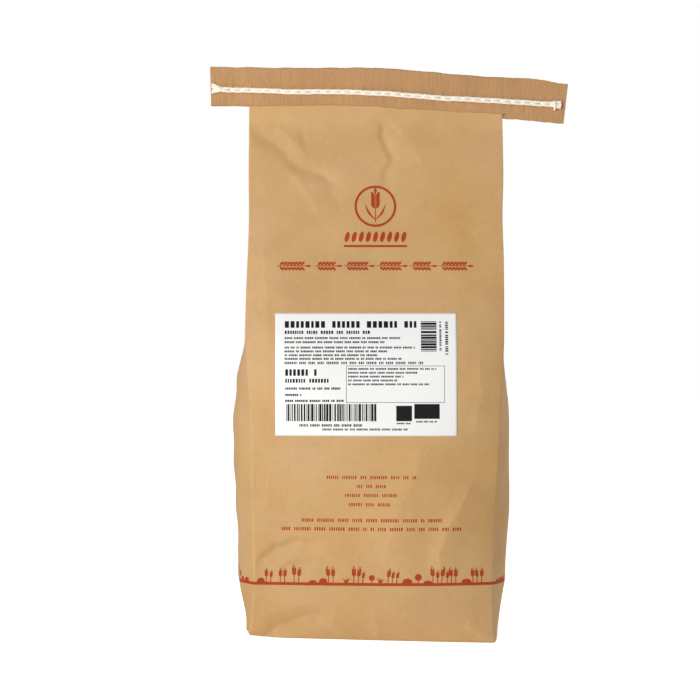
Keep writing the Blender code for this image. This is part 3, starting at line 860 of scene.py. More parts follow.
def make_kraft(colour, wear_and_highlight):
    """Brown kraft paper: cloudy and fibrous, warmer and cooler by turns, darkly flecked, and painted paler along its
    folds, for wear and for a painted highlight where a fold catches the light.
    """
    material, tree, shader, place = new_material("kraft_paper", 0.62, 0.35)
    value, height = kraft_texture(tree, place)
    paper = toned(tree, shader, value, colour, (0.2, (0.80, 0.77, 0.71)), 0.5, (0.80, (1.13, 1.16, 1.22)))
    warmth = ramp(tree, noise(tree, place, 13.0, 2.0, 0.5), (
        (0.32, (0.98, 0.935, 0.83)), (0.5, (1.0, 1.0, 1.0)), (0.68, (1.01, 1.01, 1.12)),
    ))
    paper = blend_colour(tree, 1.0, paper, warmth, "MULTIPLY")
    flecks = threshold(tree, noise(tree, place, 700.0, 1.0, 0.5, 0.8), 0.72, 0.80)
    dark = (*scaled(colour, (0.5, 0.42, 0.35)), 1)
    paper = blend_colour(tree, arithmetic(tree, "MULTIPLY", flecks, 0.3), paper, dark)
    # The folds are painted paler: worn paper, and a painted highlight where they catch the light
    worn_and_lit = add_node(tree, "ShaderNodeAttribute", {"attribute_name": "wear_and_highlight"}).outputs["Fac"]
    patchy = threshold(tree, value, 0.35, 0.65)
    worn_and_lit = arithmetic(tree, "MULTIPLY", arithmetic(tree, "MULTIPLY", worn_and_lit, patchy), wear_and_highlight, clamp=True)
    paper = blend_colour(tree, worn_and_lit, paper, (*scaled(colour, (1.22, 1.30, 1.48)), 1))
    tree.links.new(paper, shader.inputs["Base Color"])
    tree.links.new(weighted(tree, ((value, 0.25),), 0.62), shader.inputs["Roughness"])
    bump(tree, shader, height, 0.0002, 0.7)
    return material


def make_ink(colour):
    """Red ink soaked into paper: the paper's cloudiness and fibres still show in it."""
    material, tree, shader, place = new_material("red_ink", 0.7, 0.15)
    value, height = kraft_texture(tree, place)
    toned(tree, shader, value, colour, (0.2, (0.75, 0.75, 0.75)), 0.55, (0.85, (1.25, 1.45, 1.5)))
    bump(tree, shader, height, 0.0002, 0.7)
    return material


def make_crepe(colour):
    """Crepe paper: fine crinkles across its length, faintly streaky, with small pale and dark specks."""
    material, tree, shader, place = new_material("crepe_tape", 0.78, 0.25)
    streaks = noise(tree, stretched(tree, place, (520.0, 520.0, 40.0)), 1.0, 3.0, 0.6, 0.5)
    crinkled = noise(tree, stretched(tree, place, (1900.0, 1900.0, 260.0)), 1.0, 2.0, 0.6, 0.8)
    clouds = noise(tree, place, 24.0, 2.0, 0.5)
    grain = noise(tree, place, 1100.0, 2.0, 0.6)
    value = weighted(tree, ((streaks, 0.50), (crinkled, 0.34), (clouds, 0.34), (grain, 0.40)))
    toned(tree, shader, value, colour, (0.2, (0.76, 0.72, 0.68)), 0.5, (0.82, (1.16, 1.17, 1.18)))
    bump(tree, shader, weighted(tree, ((crinkled, 0.8), (grain, 0.4))), 0.0003, 0.8)
    return material


def make_cotton(colour):
    """Twisted cotton: fine slanting fibres along each strand, soft sheen, and painted shade that makes it slightly
    darker in the fibres' hollows.
    """
    material, tree, shader, place = new_material("cotton_thread", 0.9, 0.2)
    uv = add_node(tree, "ShaderNodeUVMap", {"uv_map": "strand"}).outputs["UV"]
    fibres = noise(tree, stretched(tree, uv, (1.4, 22.0, 1.0)), 1.0, 3.0, 0.65, 0.5)
    # Painted shade: the colour is darker where the fibres' bump is low
    value = weighted(tree, ((fibres, 0.9), (noise(tree, place, 500.0, 2.0, 0.6), 0.4)))
    toned(tree, shader, value, colour, (0.2, (0.88, 0.85, 0.80)), 0.5, (0.85, (1.04, 1.05, 1.06)))
    shader.inputs["Sheen Weight"].default_value = 0.25
    bump(tree, shader, fibres, 0.00025, 0.8)
    return material


def make_label_paper(colour):
    """Smooth coated label paper with a faint tooth."""
    material, tree, shader, place = new_material("label_paper", 0.42, 0.45)
    tooth = noise(tree, place, 1400.0, 2.0, 0.6)
    value = weighted(tree, ((noise(tree, place, 60.0, 2.0, 0.5), 0.6), (tooth, 0.3)))
    toned(tree, shader, value, colour, (0.2, (0.97, 0.97, 0.965)), None, (0.8, (1.01, 1.01, 1.01)))
    bump(tree, shader, tooth, 0.00004, 0.5)
    return material


def make_label_ink(colour):
    """Thermal print: nearly black, a little uneven."""
    material, tree, shader, place = new_material("label_print", 0.6, 0.12)
    tooth = noise(tree, place, 900.0, 2.0, 0.6)
    toned(tree, shader, tooth, colour, (0.25, (1.0, 1.0, 1.0)), None, (0.75, (1.9, 1.9, 1.9)))
    return material


class PaperSettings(PropertyGroup):
    """The bag's paper and its print."""

    colour: FloatVectorProperty(
        name="Paper", description="Colour of the kraft paper", subtype="COLOR", min=0, max=1,
        default=(0.585, 0.358, 0.152),
    )
    ink: FloatVectorProperty(
        name="Ink", description="Colour of the print on the paper", subtype="COLOR", min=0, max=1,
        default=(0.43, 0.056, 0.014),
    )
    crumple: FloatProperty(
        name="Crumple", description="Height of the small folds", default=1.0, min=0, max=3, subtype="FACTOR",
    )
    # How pale the folds are painted: wear, with a painted highlight
    wear_and_highlight: FloatProperty(
        name="Wear and highlight", description="How pale the paper is along its folds", default=0.4, min=0, max=2,
        subtype="FACTOR",
    )


class LabelSettings(PropertyGroup):
    """The label stuck to the front."""

    thickness: FloatProperty(
        name="Thickness", description="Thickness of the label", default=0.0002, unit="LENGTH", precision=5,
    )
    colour: FloatVectorProperty(
        name="Label", description="Colour of the label", subtype="COLOR", min=0, max=1, default=(0.90, 0.90, 0.90),
    )
    ink: FloatVectorProperty(
        name="Print", description="Colour of the label's print", subtype="COLOR", min=0, max=1,
        default=(0.008, 0.008, 0.009),
    )
    seed: IntProperty(name="Seed", description="Draw of the bars and blocks", default=7, min=0)


class TapeSettings(PropertyGroup):
    """The crepe tape folded over the top."""

    thickness: FloatProperty(
        name="Thickness", description="Thickness of one ply", default=0.00032, unit="LENGTH", precision=5,
    )
    crinkle: FloatProperty(
        name="Crinkle", description="Height of the crinkles", default=0.0001, unit="LENGTH", precision=5,
    )
    colour: FloatVectorProperty(
        name="Tape", description="Colour of the crepe paper", subtype="COLOR", min=0, max=1,
        default=(0.49, 0.274, 0.123),
    )


class ThreadSettings(PropertyGroup):
    """The stitches through the tape."""

    pitch: FloatProperty(
        name="Pitch", description="Length of one stitch", default=0.008, unit="LENGTH", precision=4,
    )
    strand: FloatProperty(
        name="Strand", description="Radius of the thread", default=0.00112, unit="LENGTH", precision=5,
    )
    colour: FloatVectorProperty(
        name="Cotton", description="Colour of the thread", subtype="COLOR", min=0, max=1,
        default=(0.95, 0.885, 0.765),
    )


class StageSettings(PropertyGroup):
    """Floor, light and camera."""

    distance: FloatProperty(
        name="Distance", description="From the camera to the bag's middle", default=2.4, unit="LENGTH",
    )
    floor: FloatVectorProperty(
        name="Floor", description="Colour of the floor", subtype="COLOR", min=0, max=1,
        default=(0.8, 0.775, 0.735),
    )
    glow: FloatProperty(
        name="Glow", description="How much paler the floor looks than it is lit", default=0.7, min=0,
    )
    key: FloatProperty(name="Key", description="Strength of the light from the front left", default=2.04, min=0)
    fill: FloatProperty(name="Fill", description="Strength of the light from behind", default=0.85, min=0)
    sky: FloatProperty(name="Sky", description="Strength of the light from all round", default=0.48, min=0)


class FlourBagSettings(PropertyGroup):
    """All that a user may change on the flour bag."""

    paper: PointerProperty(type=PaperSettings, name="Paper", description="The bag's paper and its print")
    label: PointerProperty(type=LabelSettings, name="Label", description="The label on the front")
    tape: PointerProperty(type=TapeSettings, name="Tape", description="The crepe tape")
    thread: PointerProperty(type=ThreadSettings, name="Thread", description="The stitches")
    stage: PointerProperty(type=StageSettings, name="Stage", description="Floor, light and camera")


class FLOURBAG_OT_stage(Operator):
    """Sets the camera where the photograph was taken, a plain pale floor and soft light from the front left."""

    bl_idname = "flourbag.stage"
    bl_label = "Stage"

    def execute(self, context):
        stage = context.scene.flour_bag.stage
        self.camera(context, stage.distance)
        self.floor(stage)
        self.key_light(context, stage)
        self.fill_light(context, stage)
        self.sky(context, stage)
        context.scene.view_settings.view_transform = "Standard"
        context.scene.view_settings.look = "None"
        return {"FINISHED"}

    @staticmethod
    def camera(context, distance):
        """Level camera that looks along +Y, rolled a little, with the lens that gives the photograph's frame."""
        lens = bpy.data.cameras.new("camera")
        lens.sensor_width = SENSOR_MM
        lens.lens = SENSOR_MM * distance / (PHOTO_SIDE_PX * MM_PER_PX * MM)
        lens.clip_end = 100.0
        camera = bpy.data.objects.new("camera", lens)
        place = Matrix.Translation((CAMERA_X * MM, -distance, CAMERA_Z * MM))
        turn = Matrix.Rotation(math.radians(90), 4, "X") @ Matrix.Rotation(math.radians(CAMERA_ROLL), 4, "Z")
        camera.matrix_world = place @ turn
        context.scene.collection.objects.link(camera)
        context.scene.camera = camera

    @staticmethod
    def key_light(context, stage):
        """Square soft box in front and to the left, near enough for the bag's left side to be the brighter one."""
        azimuth, elevation = math.radians(KEY_AZIMUTH), math.radians(KEY_ELEVATION)
        box = bpy.data.lights.new("key", "AREA")
        box.shape = "SQUARE"
        box.size = KEY_SIZE
        box.energy = stage.key * math.pi * KEY_DISTANCE**2
        light = bpy.data.objects.new("key", box)
        away = KEY_DISTANCE * math.cos(elevation)
        up = KEY_DISTANCE * math.sin(elevation) + CAMERA_Z * MM
        light.location = (away * math.sin(azimuth), -away * math.cos(azimuth), up)
        light.rotation_euler = (math.pi / 2 - elevation, 0, azimuth)
        light.visible_camera = False
        context.scene.collection.objects.link(light)

    @staticmethod
    def fill_light(context, stage):
        """Soft light from far away, behind the bag and to its right."""
        lamp = bpy.data.lights.new("fill", "SUN")
        lamp.energy = stage.fill
        lamp.angle = math.radians(FILL_SOFTNESS)
        light = bpy.data.objects.new("fill", lamp)
        light.rotation_euler = (math.radians(90 - FILL_ELEVATION), 0, math.radians(FILL_AZIMUTH))
        context.scene.collection.objects.link(light)

    @staticmethod
    def floor(stage):
        """Wide square of pale floor under the bag: it gives off a little light, and for the camera a glow too."""
        material, tree, shader, _ = new_material("floor", 0.9, 0.0)
        shader.inputs["Base Color"].default_value = (*stage.floor, 1)
        shader.inputs["Emission Color"].default_value = (*FLOOR_TINT, 1)
        seen = add_node(tree, "ShaderNodeLightPath").outputs["Is Camera Ray"]
        lit = arithmetic(tree, "ADD", arithmetic(tree, "MULTIPLY", seen, stage.glow), FLOOR_LIGHT)
        tree.links.new(lit, shader.inputs["Emission Strength"])
        side = np.linspace(-FLOOR_HALF, FLOOR_HALF, 3)
        x, y = np.meshgrid(side, side)
        grid = np.stack((x, y, np.full_like(x, -FLOOR_GAP)), axis=-1)
        floor = mesh_piece("floor", *join_grids([grid]), material, smooth=False)

    @staticmethod
    def sky(context, stage):
        """Soft light from all round, less from overhead, in front of a white backdrop."""
        world = bpy.data.worlds.new("studio")
        world.use_nodes = True
        context.scene.world = world
        tree = world.node_tree
        light = tree.nodes["Background"]
        light.inputs["Color"].default_value = (1, 1, 1, 1)
        way = add_node(tree, "ShaderNodeTexCoord").outputs["Generated"]
        upward = add_node(tree, "ShaderNodeSeparateXYZ", None, {"Vector": way}).outputs["Z"]
        low, top = stage.sky * SKY_LOW, stage.sky * SKY_TOP
        inputs = {"Value": upward, "From Min": 0.0, "From Max": 1.0, "To Min": low, "To Max": top}
        strength = add_node(tree, "ShaderNodeMapRange", None, inputs).outputs["Result"]
        tree.links.new(strength, light.inputs["Strength"])
        backdrop = add_node(tree, "ShaderNodeBackground", None, {"Color": (1, 1, 1, 1), "Strength": BACKDROP})
        seen = add_node(tree, "ShaderNodeLightPath").outputs["Is Camera Ray"]
        mixed = add_node(tree, "ShaderNodeMixShader", None, {0: seen, 1: light.outputs[0], 2: backdrop.outputs[0]})
        tree.links.new(mixed.outputs[0], tree.nodes["World Output"].inputs["Surface"])


class FLOURBAG_OT_bag(Operator):
    """Makes the paper bag: swollen below and run together above, with tucked gussets, folds and crumples."""

    bl_idname = "flourbag.bag"
    bl_label = "Paper bag"

    def execute(self, context):
        settings = context.scene.flour_bag.paper
        surface = PaperSurface(settings.crumple)
        grids = [surface.ring, self.closed_top(surface), self.underside(surface.ring)]
        points, quads = join_grids(grids, closed=True)
        faces = [tuple(face) for face in quads.tolist()]
        ends = np.cumsum([grid.shape[0] * grid.shape[1] for grid in grids])
        for grid, end in zip(grids[1:], ends[1:]):
            faces.append(tuple(range(end - grid.shape[1], end)))
        bag = mesh_piece("paper_bag", points, faces, make_kraft(tuple(settings.colour), settings.wear_and_highlight))
        # Each point's share of the pale fold line: wear, with a painted highlight
        wear_and_highlight = np.zeros(len(points))
        wear_and_highlight[: surface.wear_and_highlight.size] = surface.wear_and_highlight.ravel()
        bag.data.attributes.new("wear_and_highlight", "FLOAT", "POINT").data.foreach_set("value", wear_and_highlight)
        weld(bag)
        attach(bag, "root")
        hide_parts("bag")
        return {"FINISHED"}

    @staticmethod
    def closed_top(surface):
        """Rows from the closed notches up: the front and back sheets, with one middle point at each edge."""
        front, back = surface.tongue_front, surface.tongue_back
        right_edge = (front[:, -1:] + back[:, -1:]) / 2
        left_edge = (front[:, :1] + back[:, :1]) / 2
        last, start = surface.ring[-1:], surface.back_start
        closing = np.concatenate((last[:, : FRONT_COLUMNS + 2], last[:, start : start + BACK_COLUMNS + 2]), axis=1)
        return np.concatenate((closing, np.concatenate((front, right_edge, back[:, ::-1], left_edge), axis=1)))

    @staticmethod
    def underside(ring):
        """Rows from the foot inwards under the bag, raised towards the lifted corner."""
        base = np.concatenate([ring[:1] * (scale, scale, 0) for scale, _ in BASE_RINGS])
        heights = np.array([height for _, height in BASE_RINGS])[:, None]
        base[..., 2] = corner_lift(base[..., 0], base[..., 1]) + heights
        base[0] = ring[0]
        return base[:, ::-1]


def bar(x0, x1, z0, z1):
    """Rectangle as a grid of places."""
    columns = max(2, int(abs(x1 - x0) / PRINT_STEP) + 2)
    rows = max(2, int(abs(z1 - z0) / PRINT_STEP) + 2)
    x, z = np.meshgrid(np.linspace(x0, x1, columns), np.linspace(z0, z1, rows))
    return np.stack((x, z), axis=-1)


def oval(x, z, half_width, half_height, turn=0.0, count=5):
    """Ellipse as a grid: a square drawn into a disc, scaled and turned by an angle in degrees."""
    u, v = np.meshgrid(np.linspace(-1, 1, count), np.linspace(-1, 1, count))
    across = half_width * u * np.sqrt(1 - v * v / 2)
    rise = half_height * v * np.sqrt(1 - u * u / 2)
    c, s = math.cos(math.radians(turn)), math.sin(math.radians(turn))
    return np.stack((x + across * c - rise * s, z + across * s + rise * c), axis=-1)


def hoop(x, z, inner, outer):
    """Ring as a grid."""
    radius, angle = np.meshgrid((inner, outer), np.radians(np.linspace(0, 360, 60)), indexing="ij")
    return np.stack((x + radius * np.cos(angle), z + radius * np.sin(angle)), axis=-1)[:, ::-1]


def ribbon(points, widths, count=14):
    """Tapering stroke along a curve through the points, as wide as the widths say at its ends and middle."""
    path = rounded(points, count)
    ahead = directions(path)
    half = np.interp(np.linspace(0, 1, count), np.linspace(0, 1, len(widths)), widths)[:, None] / 2
    side = np.stack((-ahead[:, 1], ahead[:, 0]), axis=1) * half
    return np.stack((path - side, path + side))


def mound(x, z, half_width, height, count=12):
    """Low hill: the space under half an ellipse."""
    t = np.linspace(-1, 1, count)
    top = height * np.sqrt(np.maximum(0, 1 - t * t)) + 0.02
    place = x + half_width * t
    rows = [np.stack((place, z + top * share), axis=-1) for share in (0.0, 0.5, 1.0)]
    return np.stack(rows)


def ear(x, z, height, lean, grains=4):
    """Ear of wheat on a stalk: pairs of grains up its upper part and one at the tip."""
    top_x = x + lean
    stalk = ((x, z), (x + lean * 0.3, z + height * 0.5), (top_x, z + height * 0.95))
    shapes = [ribbon(stalk, (0.75, 0.6, 0.5))]
    size = height * 0.085
    for k in range(grains):
        share = 0.52 + 0.42 * k / grains
        at_x = x + lean * share**1.6
        at_z = z + height * share
        for side in (-1, 1):
            shapes.append(oval(at_x + side * size * 0.9, at_z, size * 0.5, size * 1.15, -28 * side))
    shapes.append(oval(top_x, z + height * 0.98, size * 0.5, size * 1.2))
    return shapes


def tuft(x, z, height, draw):
    """Tuft of grass: a few blades that fan out."""
    shapes = []
    for lean in (-0.75, -0.3, 0.12, 0.5, 0.9):
        tall = height * draw.uniform(0.6, 1.0)
        tip = x + lean * height * draw.uniform(0.7, 1.1)
        root = x + lean * 0.8
        blade = ((root, z), ((root * 2 + tip) / 3, z + tall * 0.55), (tip, z + tall))
        shapes.append(ribbon(blade, (1.0, 0.8, 0.15), 6))
    return shapes


def shrub(x, z, radius):
    """Round shrub on a short stem."""
    return [bar(x - 0.35, x + 0.35, z, z + radius), oval(x, z + radius * 1.7, radius, radius, count=8)]


def words(x0, x1, z, height, letter, gap, draw):
    """A line of plain blocks grouped like words: each block has a drawn width.

    letter and gap are the middle width of a block and of a gap, as shares of the height.
    """
    shapes = []
    x = x0
    while x < x1 - height * letter:
        for _ in range(draw.integers(2, 9)):
            width = height * letter * draw.uniform(0.75, 1.3)
            if x + width > x1:
                break
            shapes.append(bar(x, x + width, z, z + height))
            x += width + height * gap * 0.5
        x += height * gap * 1.7
    return shapes


def tilted(shapes, centre):
    """The shapes turned by the print's tilt about a centre."""
    c, s = math.cos(math.radians(PRINT_TILT)), math.sin(math.radians(PRINT_TILT))
    turned = []
    for shape in shapes:
        x, z = shape[..., 0] - centre[0], shape[..., 1] - centre[1]
        turned.append(np.stack((centre[0] + x * c - z * s, centre[1] + x * s + z * c), axis=-1))
    return turned


def wrapped(shapes):
    """The shapes on the ground line, which leans as the print does all round the bag, as a tilted plane cuts it."""
    leaning = []
    for shape in shapes:
        way = shape[..., 0]
        x = np.sign(way) * np.clip(2 * PANEL_REACH + GUSSET_WAY - np.abs(way), -PANEL_REACH, PANEL_REACH)
        x = np.where(np.abs(way) < PANEL_REACH, way, x)
        leaning.append(np.stack((way, shape[..., 1] + x * math.tan(math.radians(PRINT_TILT))), axis=-1))
    return leaning


class FLOURBAG_OT_print(Operator):
    """Prints the paper in red: an ear of wheat in a ring, bands of grains, plain blocks and a meadow all round."""

    bl_idname = "flourbag.print"
    bl_label = "Print"

    def execute(self, context):
        settings = context.scene.flour_bag.paper
        surface = PaperSurface(settings.crumple)
        shapes = tilted(self.emblem(), EMBLEM_PIVOT)
        shapes += tilted(self.grain_band(), BAND_PIVOT)
        shapes += tilted(self.small_print(), LINES_PIVOT)
        shapes += wrapped([self.ground()])
        draw = np.random.default_rng(MEADOW_SEED)
        for start, end in MEADOWS:
            shapes += wrapped(self.meadow(draw, start, end))
        grids = [
            surface.on_front(shape, PRINT_LIFT + PRINT_LAYER * (number % PRINT_LAYERS))
            for number, shape in enumerate(shapes)
        ]
        ink = make_ink(tuple(settings.ink))
        printed = mesh_piece("front_print", *join_grids(grids), ink, smooth=False)
        thicken(printed, PRINT_THICKNESS)
        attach(printed, "root")
        return {"FINISHED"}

    @staticmethod
    def emblem():
        """A ring round an upright ear of wheat with two leaves, over a row of grains and a plain bar."""
        x, z = EMBLEM
        shapes = [hoop(x, z, 14.7, 16.6)]
        shapes += ear(x, z - 13.0, 26.0, 0.0, grains=5)
        for side in (-1, 1):
            leaf = ((x, z - 11), (x + side * 5, z - 5.5), (x + side * 8.3, z + 2))
            shapes.append(ribbon(leaf, (0.4, 1.9, 0.2)))
        shapes += [oval(x + 5.6 * k, 316.6, 1.8, 4.3, -14, count=7) for k in range(-4, 5)]
        shapes.append(bar(x - 25, x + 25, 308.4, 310.1))
        return shapes

    @staticmethod
    def grain_band():
        """Ears of wheat that lie end to end, each a stalk with slanting pairs of grains, in a row."""
        shapes = []
        for left, pairs in BAND_EARS:
            right = left + 5.0 + BAND_PITCH * pairs
            stalk = ((left, BAND_Z), ((left + right) / 2, BAND_Z + 0.25), (right, BAND_Z))
            shapes.append(ribbon(stalk, (0.5, 0.8, 0.6), 12))
            for k in range(pairs):
                at = left + 4.2 + BAND_PITCH * k
                for side in (1, -1):
                    shapes.append(oval(at, BAND_Z + side * 2.1, 2.05, 0.92, side * 38))
            shapes.append(oval(right + 0.9, BAND_Z, 2.1, 0.85))
        return shapes

    @staticmethod
    def small_print():
        """Four short centred lines, and two long ones below them."""
        draw = np.random.default_rng(LINES_SEED)
        return [shape for line in PRINT_LINES for shape in words(*line, draw)]

    @staticmethod
    def ground():
        """The strip of ground, with its places close together where it turns round the folds."""
        corners = (-PANEL_REACH - GUSSET_WAY, -PANEL_REACH, PANEL_REACH, PANEL_REACH + GUSSET_WAY)
        near = [np.arange(-4, 4, 0.3) + way for way in corners]
        ways = np.unique(np.concatenate([np.arange(-GROUND_END, GROUND_END, 1.2), (GROUND_END,), *near]).round(3))
        return np.stack(np.meshgrid(ways, [GROUND_Z - down for down in GROUND_ROWS]), axis=-1)

    @staticmethod
    def meadow(draw, start, end):
        """Ears, tufts, shrubs and low mounds on the ground from start to end, in a drawn order."""
        shapes = []
        x = start
        while x < end - 8:
            kind = draw.integers(0, 6)
            if kind <= 1:
                for k in range(draw.integers(2, 4)):
                    shapes += ear(x + 3.4 * k, GROUND_Z, draw.uniform(8, 13), draw.uniform(-1.6, 1.6))
                x += 11.0
            elif kind == 2:
                shapes += tuft(x + 2.5, GROUND_Z, draw.uniform(4, 6.5), draw)
                x += 8.5
            elif kind == 3:
                shapes += shrub(x + 3.0, GROUND_Z, draw.uniform(1.8, 2.9))
                x += 7.0
            else:
                half = draw.uniform(2.6, 5.2)
                shapes.append(mound(x + half, GROUND_Z, half, draw.uniform(1.8, 3.6)))
                x += 2 * half + draw.uniform(0.3, 1.5)
        return shapes


def label_place(s, t):
    """Places on the label: s across from its left and t down from its top, both from 0 to 1."""
    top_left, top_right, foot_right, foot_left = np.array(LABEL_CORNERS)
    s, t = s[..., None], t[..., None]
    return (top_left * (1 - s) + top_right * s) * (1 - t) + (foot_left * (1 - s) + foot_right * s) * t


class FLOURBAG_OT_label(Operator):
    """Sticks the white label on the front and fills it with plain bars, blocks and boxes."""

    bl_idname = "flourbag.label"
    bl_label = "Label"

    def execute(self, context):
        settings = context.scene.flour_bag.label
        surface = PaperSurface(context.scene.flour_bag.paper.crumple)
        thickness = settings.thickness / MM
        face = LABEL_LIFT + thickness
        s, t = np.meshgrid(np.linspace(0, 1, LABEL_COLUMNS), np.linspace(1, 0, LABEL_ROWS))
        sheet = surface.on_front(label_place(s, t), face)
        label = mesh_piece("label_sheet", *join_grids([sheet]), make_label_paper(tuple(settings.colour)))
        thicken(label, thickness)
        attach(label, "root")
        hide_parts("label")
        grids = []
        for shape in self.contents(np.random.default_rng(settings.seed)):
            place = label_place(shape[..., 0] / LABEL_SIZE[0], 1 - shape[..., 1] / LABEL_SIZE[1])
            grids.append(surface.on_front(place, face + MARKS_LIFT))
        ink = make_label_ink(tuple(settings.ink))
        printed = mesh_piece("label_marks", *join_grids(grids), ink, smooth=False)
        thicken(printed, MARKS_THICKNESS)
        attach(printed, "root")
        return {"FINISHED"}

    @staticmethod
    def contents(draw):
        """All marks of the label, in millimetres from its lower left corner."""
        high = LABEL_SIZE[1]
        shapes = FLOURBAG_OT_label.lines(UPPER_LINES, draw)
        shapes += FLOURBAG_OT_label.frame_box(55.5, 132.5, high - 70.0, high - 41.2)
        shapes += FLOURBAG_OT_label.bars(draw, 8.8, 79.0, high - 84.4, high - 71.0)
        shapes += FLOURBAG_OT_label.lines(LOWER_LINES, draw)
        shapes += [bar(94.5, 106.8, high - 84.4, high - 72.4), bar(108.6, 128.4, high - 82.6, high - 71.0)]
        shapes += FLOURBAG_OT_label.bars(draw, 6.5, 30.5, 114.0, 126.2, upright=False)
        for left, wide, end in UPRIGHT_LINES:
            down = 6.8
            while down < end:
                tall = draw.uniform(0.7, 1.4)
                shapes.append(bar(left, left + wide, high - down - tall, high - down))
                down += tall + draw.choice((0.5, 0.5, 0.5, 1.4))
        return shapes

    @staticmethod
    def lines(table, draw):
        """Lines of blocks, given by their distance down from the label's top."""
        high = LABEL_SIZE[1]
        return [
            shape for start, end, down, *look in table
            for shape in words(start, end, high - down, *look, draw)
        ]

    @staticmethod
    def frame_box(x0, x1, z0, z1):
        """Thin outline of a box."""
        return [
            bar(x0, x1, z0, z0 + BOX_LINE), bar(x0, x1, z1 - BOX_LINE, z1),
            bar(x0, x0 + BOX_LINE, z0, z1), bar(x1 - BOX_LINE, x1, z0, z1),
        ]

    @staticmethod
    def bars(draw, start, end, low, high, upright=True):
        """Parallel bars of drawn widths; lying ones are measured down from the label's top."""
        shapes = []
        at = start
        while at < end:
            width = min(draw.choice((0.5, 0.9, 1.3, 1.8)), end - at)
            if width < 0.4:
                break
            if upright:
                shapes.append(bar(at, at + width, low, high))
            else:
                shapes.append(bar(low, high, LABEL_SIZE[1] - at - width, LABEL_SIZE[1] - at))
            at += width + draw.choice((0.4, 0.5, 0.9))
        return shapes


def tape_half(x):
    """Half the tape's thickness over the paper, and thinner past its edges."""
    left, right = folds(np.array(CLOSED_TOP_Z))
    past = np.maximum(left - x, x - right) - TAPE_THINS_FROM
    return TAPE_HALF + (TAPE_OVERHANG_HALF - TAPE_HALF) * ease(0.0, TAPE_THINS_OVER, past)


def crinkles(x, h, seed):
    """Crepe: waves along the tape whose spacing and strength wander, nearly the same all the way up it."""
    bent = x + ripples(x, h * 0.5, seed, (14, 40), 0.5)
    strong = 0.55 + 0.45 * ripples(x, h * 0.8, seed + 1, (6, 18), 1.0)
    fine = np.sin(2 * math.pi * bent / CRINKLE_FINE + ripples(x, h, seed + 2, (5, 12), 1.3))
    broad = np.sin(2 * math.pi * bent / CRINKLE_BROAD + ripples(x, h, seed + 3, (9, 22), 1.2))
    return strong * (0.6 * fine + 0.7 * broad)


class FLOURBAG_OT_tape(Operator):
    """Folds the strip of crepe tape over the bag's top, crinkled across its length, pulled in along the stitches."""

    bl_idname = "flourbag.tape"
    bl_label = "Crepe tape"

    def execute(self, context):
        settings = context.scene.flour_bag.tape
        grid = self.strip(settings.crinkle / MM, context.scene.flour_bag.thread.pitch / MM)
        tape = mesh_piece("crepe_strip", *join_grids([grid]), make_crepe(tuple(settings.colour)))
        thicken(tape, settings.thickness / MM)
        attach(tape, "root")
        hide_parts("tape")
        return {"FINISHED"}

    @staticmethod
    def strip(crinkle, pitch):
        """Outer face of the folded strip: up the front, round the top and down the back, at each place along it."""
        share = np.linspace(0, 1, TAPE_COLUMNS)[None, :]
        side = np.linspace(0, 1, TAPE_SIDE_ROWS)[:, None]
        turn = np.linspace(0, math.pi, TAPE_TURN_ROWS + 2)[1:-1, None]
        foot_x = TAPE_LEFT_END[0] + (TAPE_RIGHT_END[0] - TAPE_LEFT_END[0]) * share
        top_x = TAPE_LEFT_END[1] + (TAPE_RIGHT_END[1] - TAPE_LEFT_END[1]) * share
        half = tape_half(foot_x)
        top = along(TAPE_TOP, top_x) - half
        pressed = np.minimum(half, TAPE_FOOT_HALF)
        front_foot = along(TAPE_FRONT_FOOT, foot_x)
        back_foot = along(TAPE_BACK_FOOT, foot_x)
        ones = np.ones_like(side)
        z = np.concatenate((
            front_foot + (top - front_foot) * side,
            top + half * np.sin(turn),
            top + (back_foot - top) * side,
        ))
        hug = pressed + (half - pressed) * ease(0.0, TAPE_HUG_SHARE, side)
        y = np.concatenate((-hug, -half * np.cos(turn), hug[::-1]))
        facing = np.concatenate((-ones, -np.cos(turn), ones))
        x = foot_x + (top_x - foot_x) * (z - front_foot) / (top - front_foot)
        length = np.cumsum(np.concatenate(([0], np.full(len(z) - 1, TAPE_ROW_STEP))))[:, None]
        raised = crinkle * crinkles(x, length, CRINKLE_SEED)
        off = z - along(THREAD_LINE, x)
        stitch = np.cos(2 * math.pi * (x - THREAD_ENDS[0]) / pitch)
        drawn_in = GATHER_DEPTH[0] + GATHER_DEPTH[1] * stitch
        raised -= drawn_in * np.exp(-((off / GATHER_REACH) ** 2)) * np.abs(facing)
        raised += BULGE_HEIGHT * np.exp(-((np.abs(off) - BULGE_AWAY) / BULGE_REACH) ** 2) * stitch * np.abs(facing)
        foot = np.where(facing < 0, front_foot, back_foot)
        edge = ripples(x, z * 0, EDGE_SEED, (3, 16), EDGE_WANDER) * np.exp(-np.abs(z - foot) / EDGE_REACH)
        top_edge = ripples(x, z * 0, TOP_SEED, (4, 22), TOP_WANDER) * ease(0, TOP_REACH, z - top + TOP_REACH)
        y = y + facing * raised + wave(x, z)
        return np.stack((x, y, z + edge + top_edge), axis=-1)


def laid(path, side):
    """A path given as (along, up, out) laid onto the tape: out is measured from its face, on the front or back."""
    x, up, out = path.T
    z = along(THREAD_LINE, x)
    y = wave(x, z) + side * (tape_half(x) + out)
    return np.stack((x, y, z + up), axis=1)


def laid_tube(points, side, radius, sides=12, twist=1.5, plies=0.12, count=30):
    """Twisted strand along a smooth curve through points on the tape."""
    return tube(laid(rounded(points, count), side), radius, sides, twist, plies)


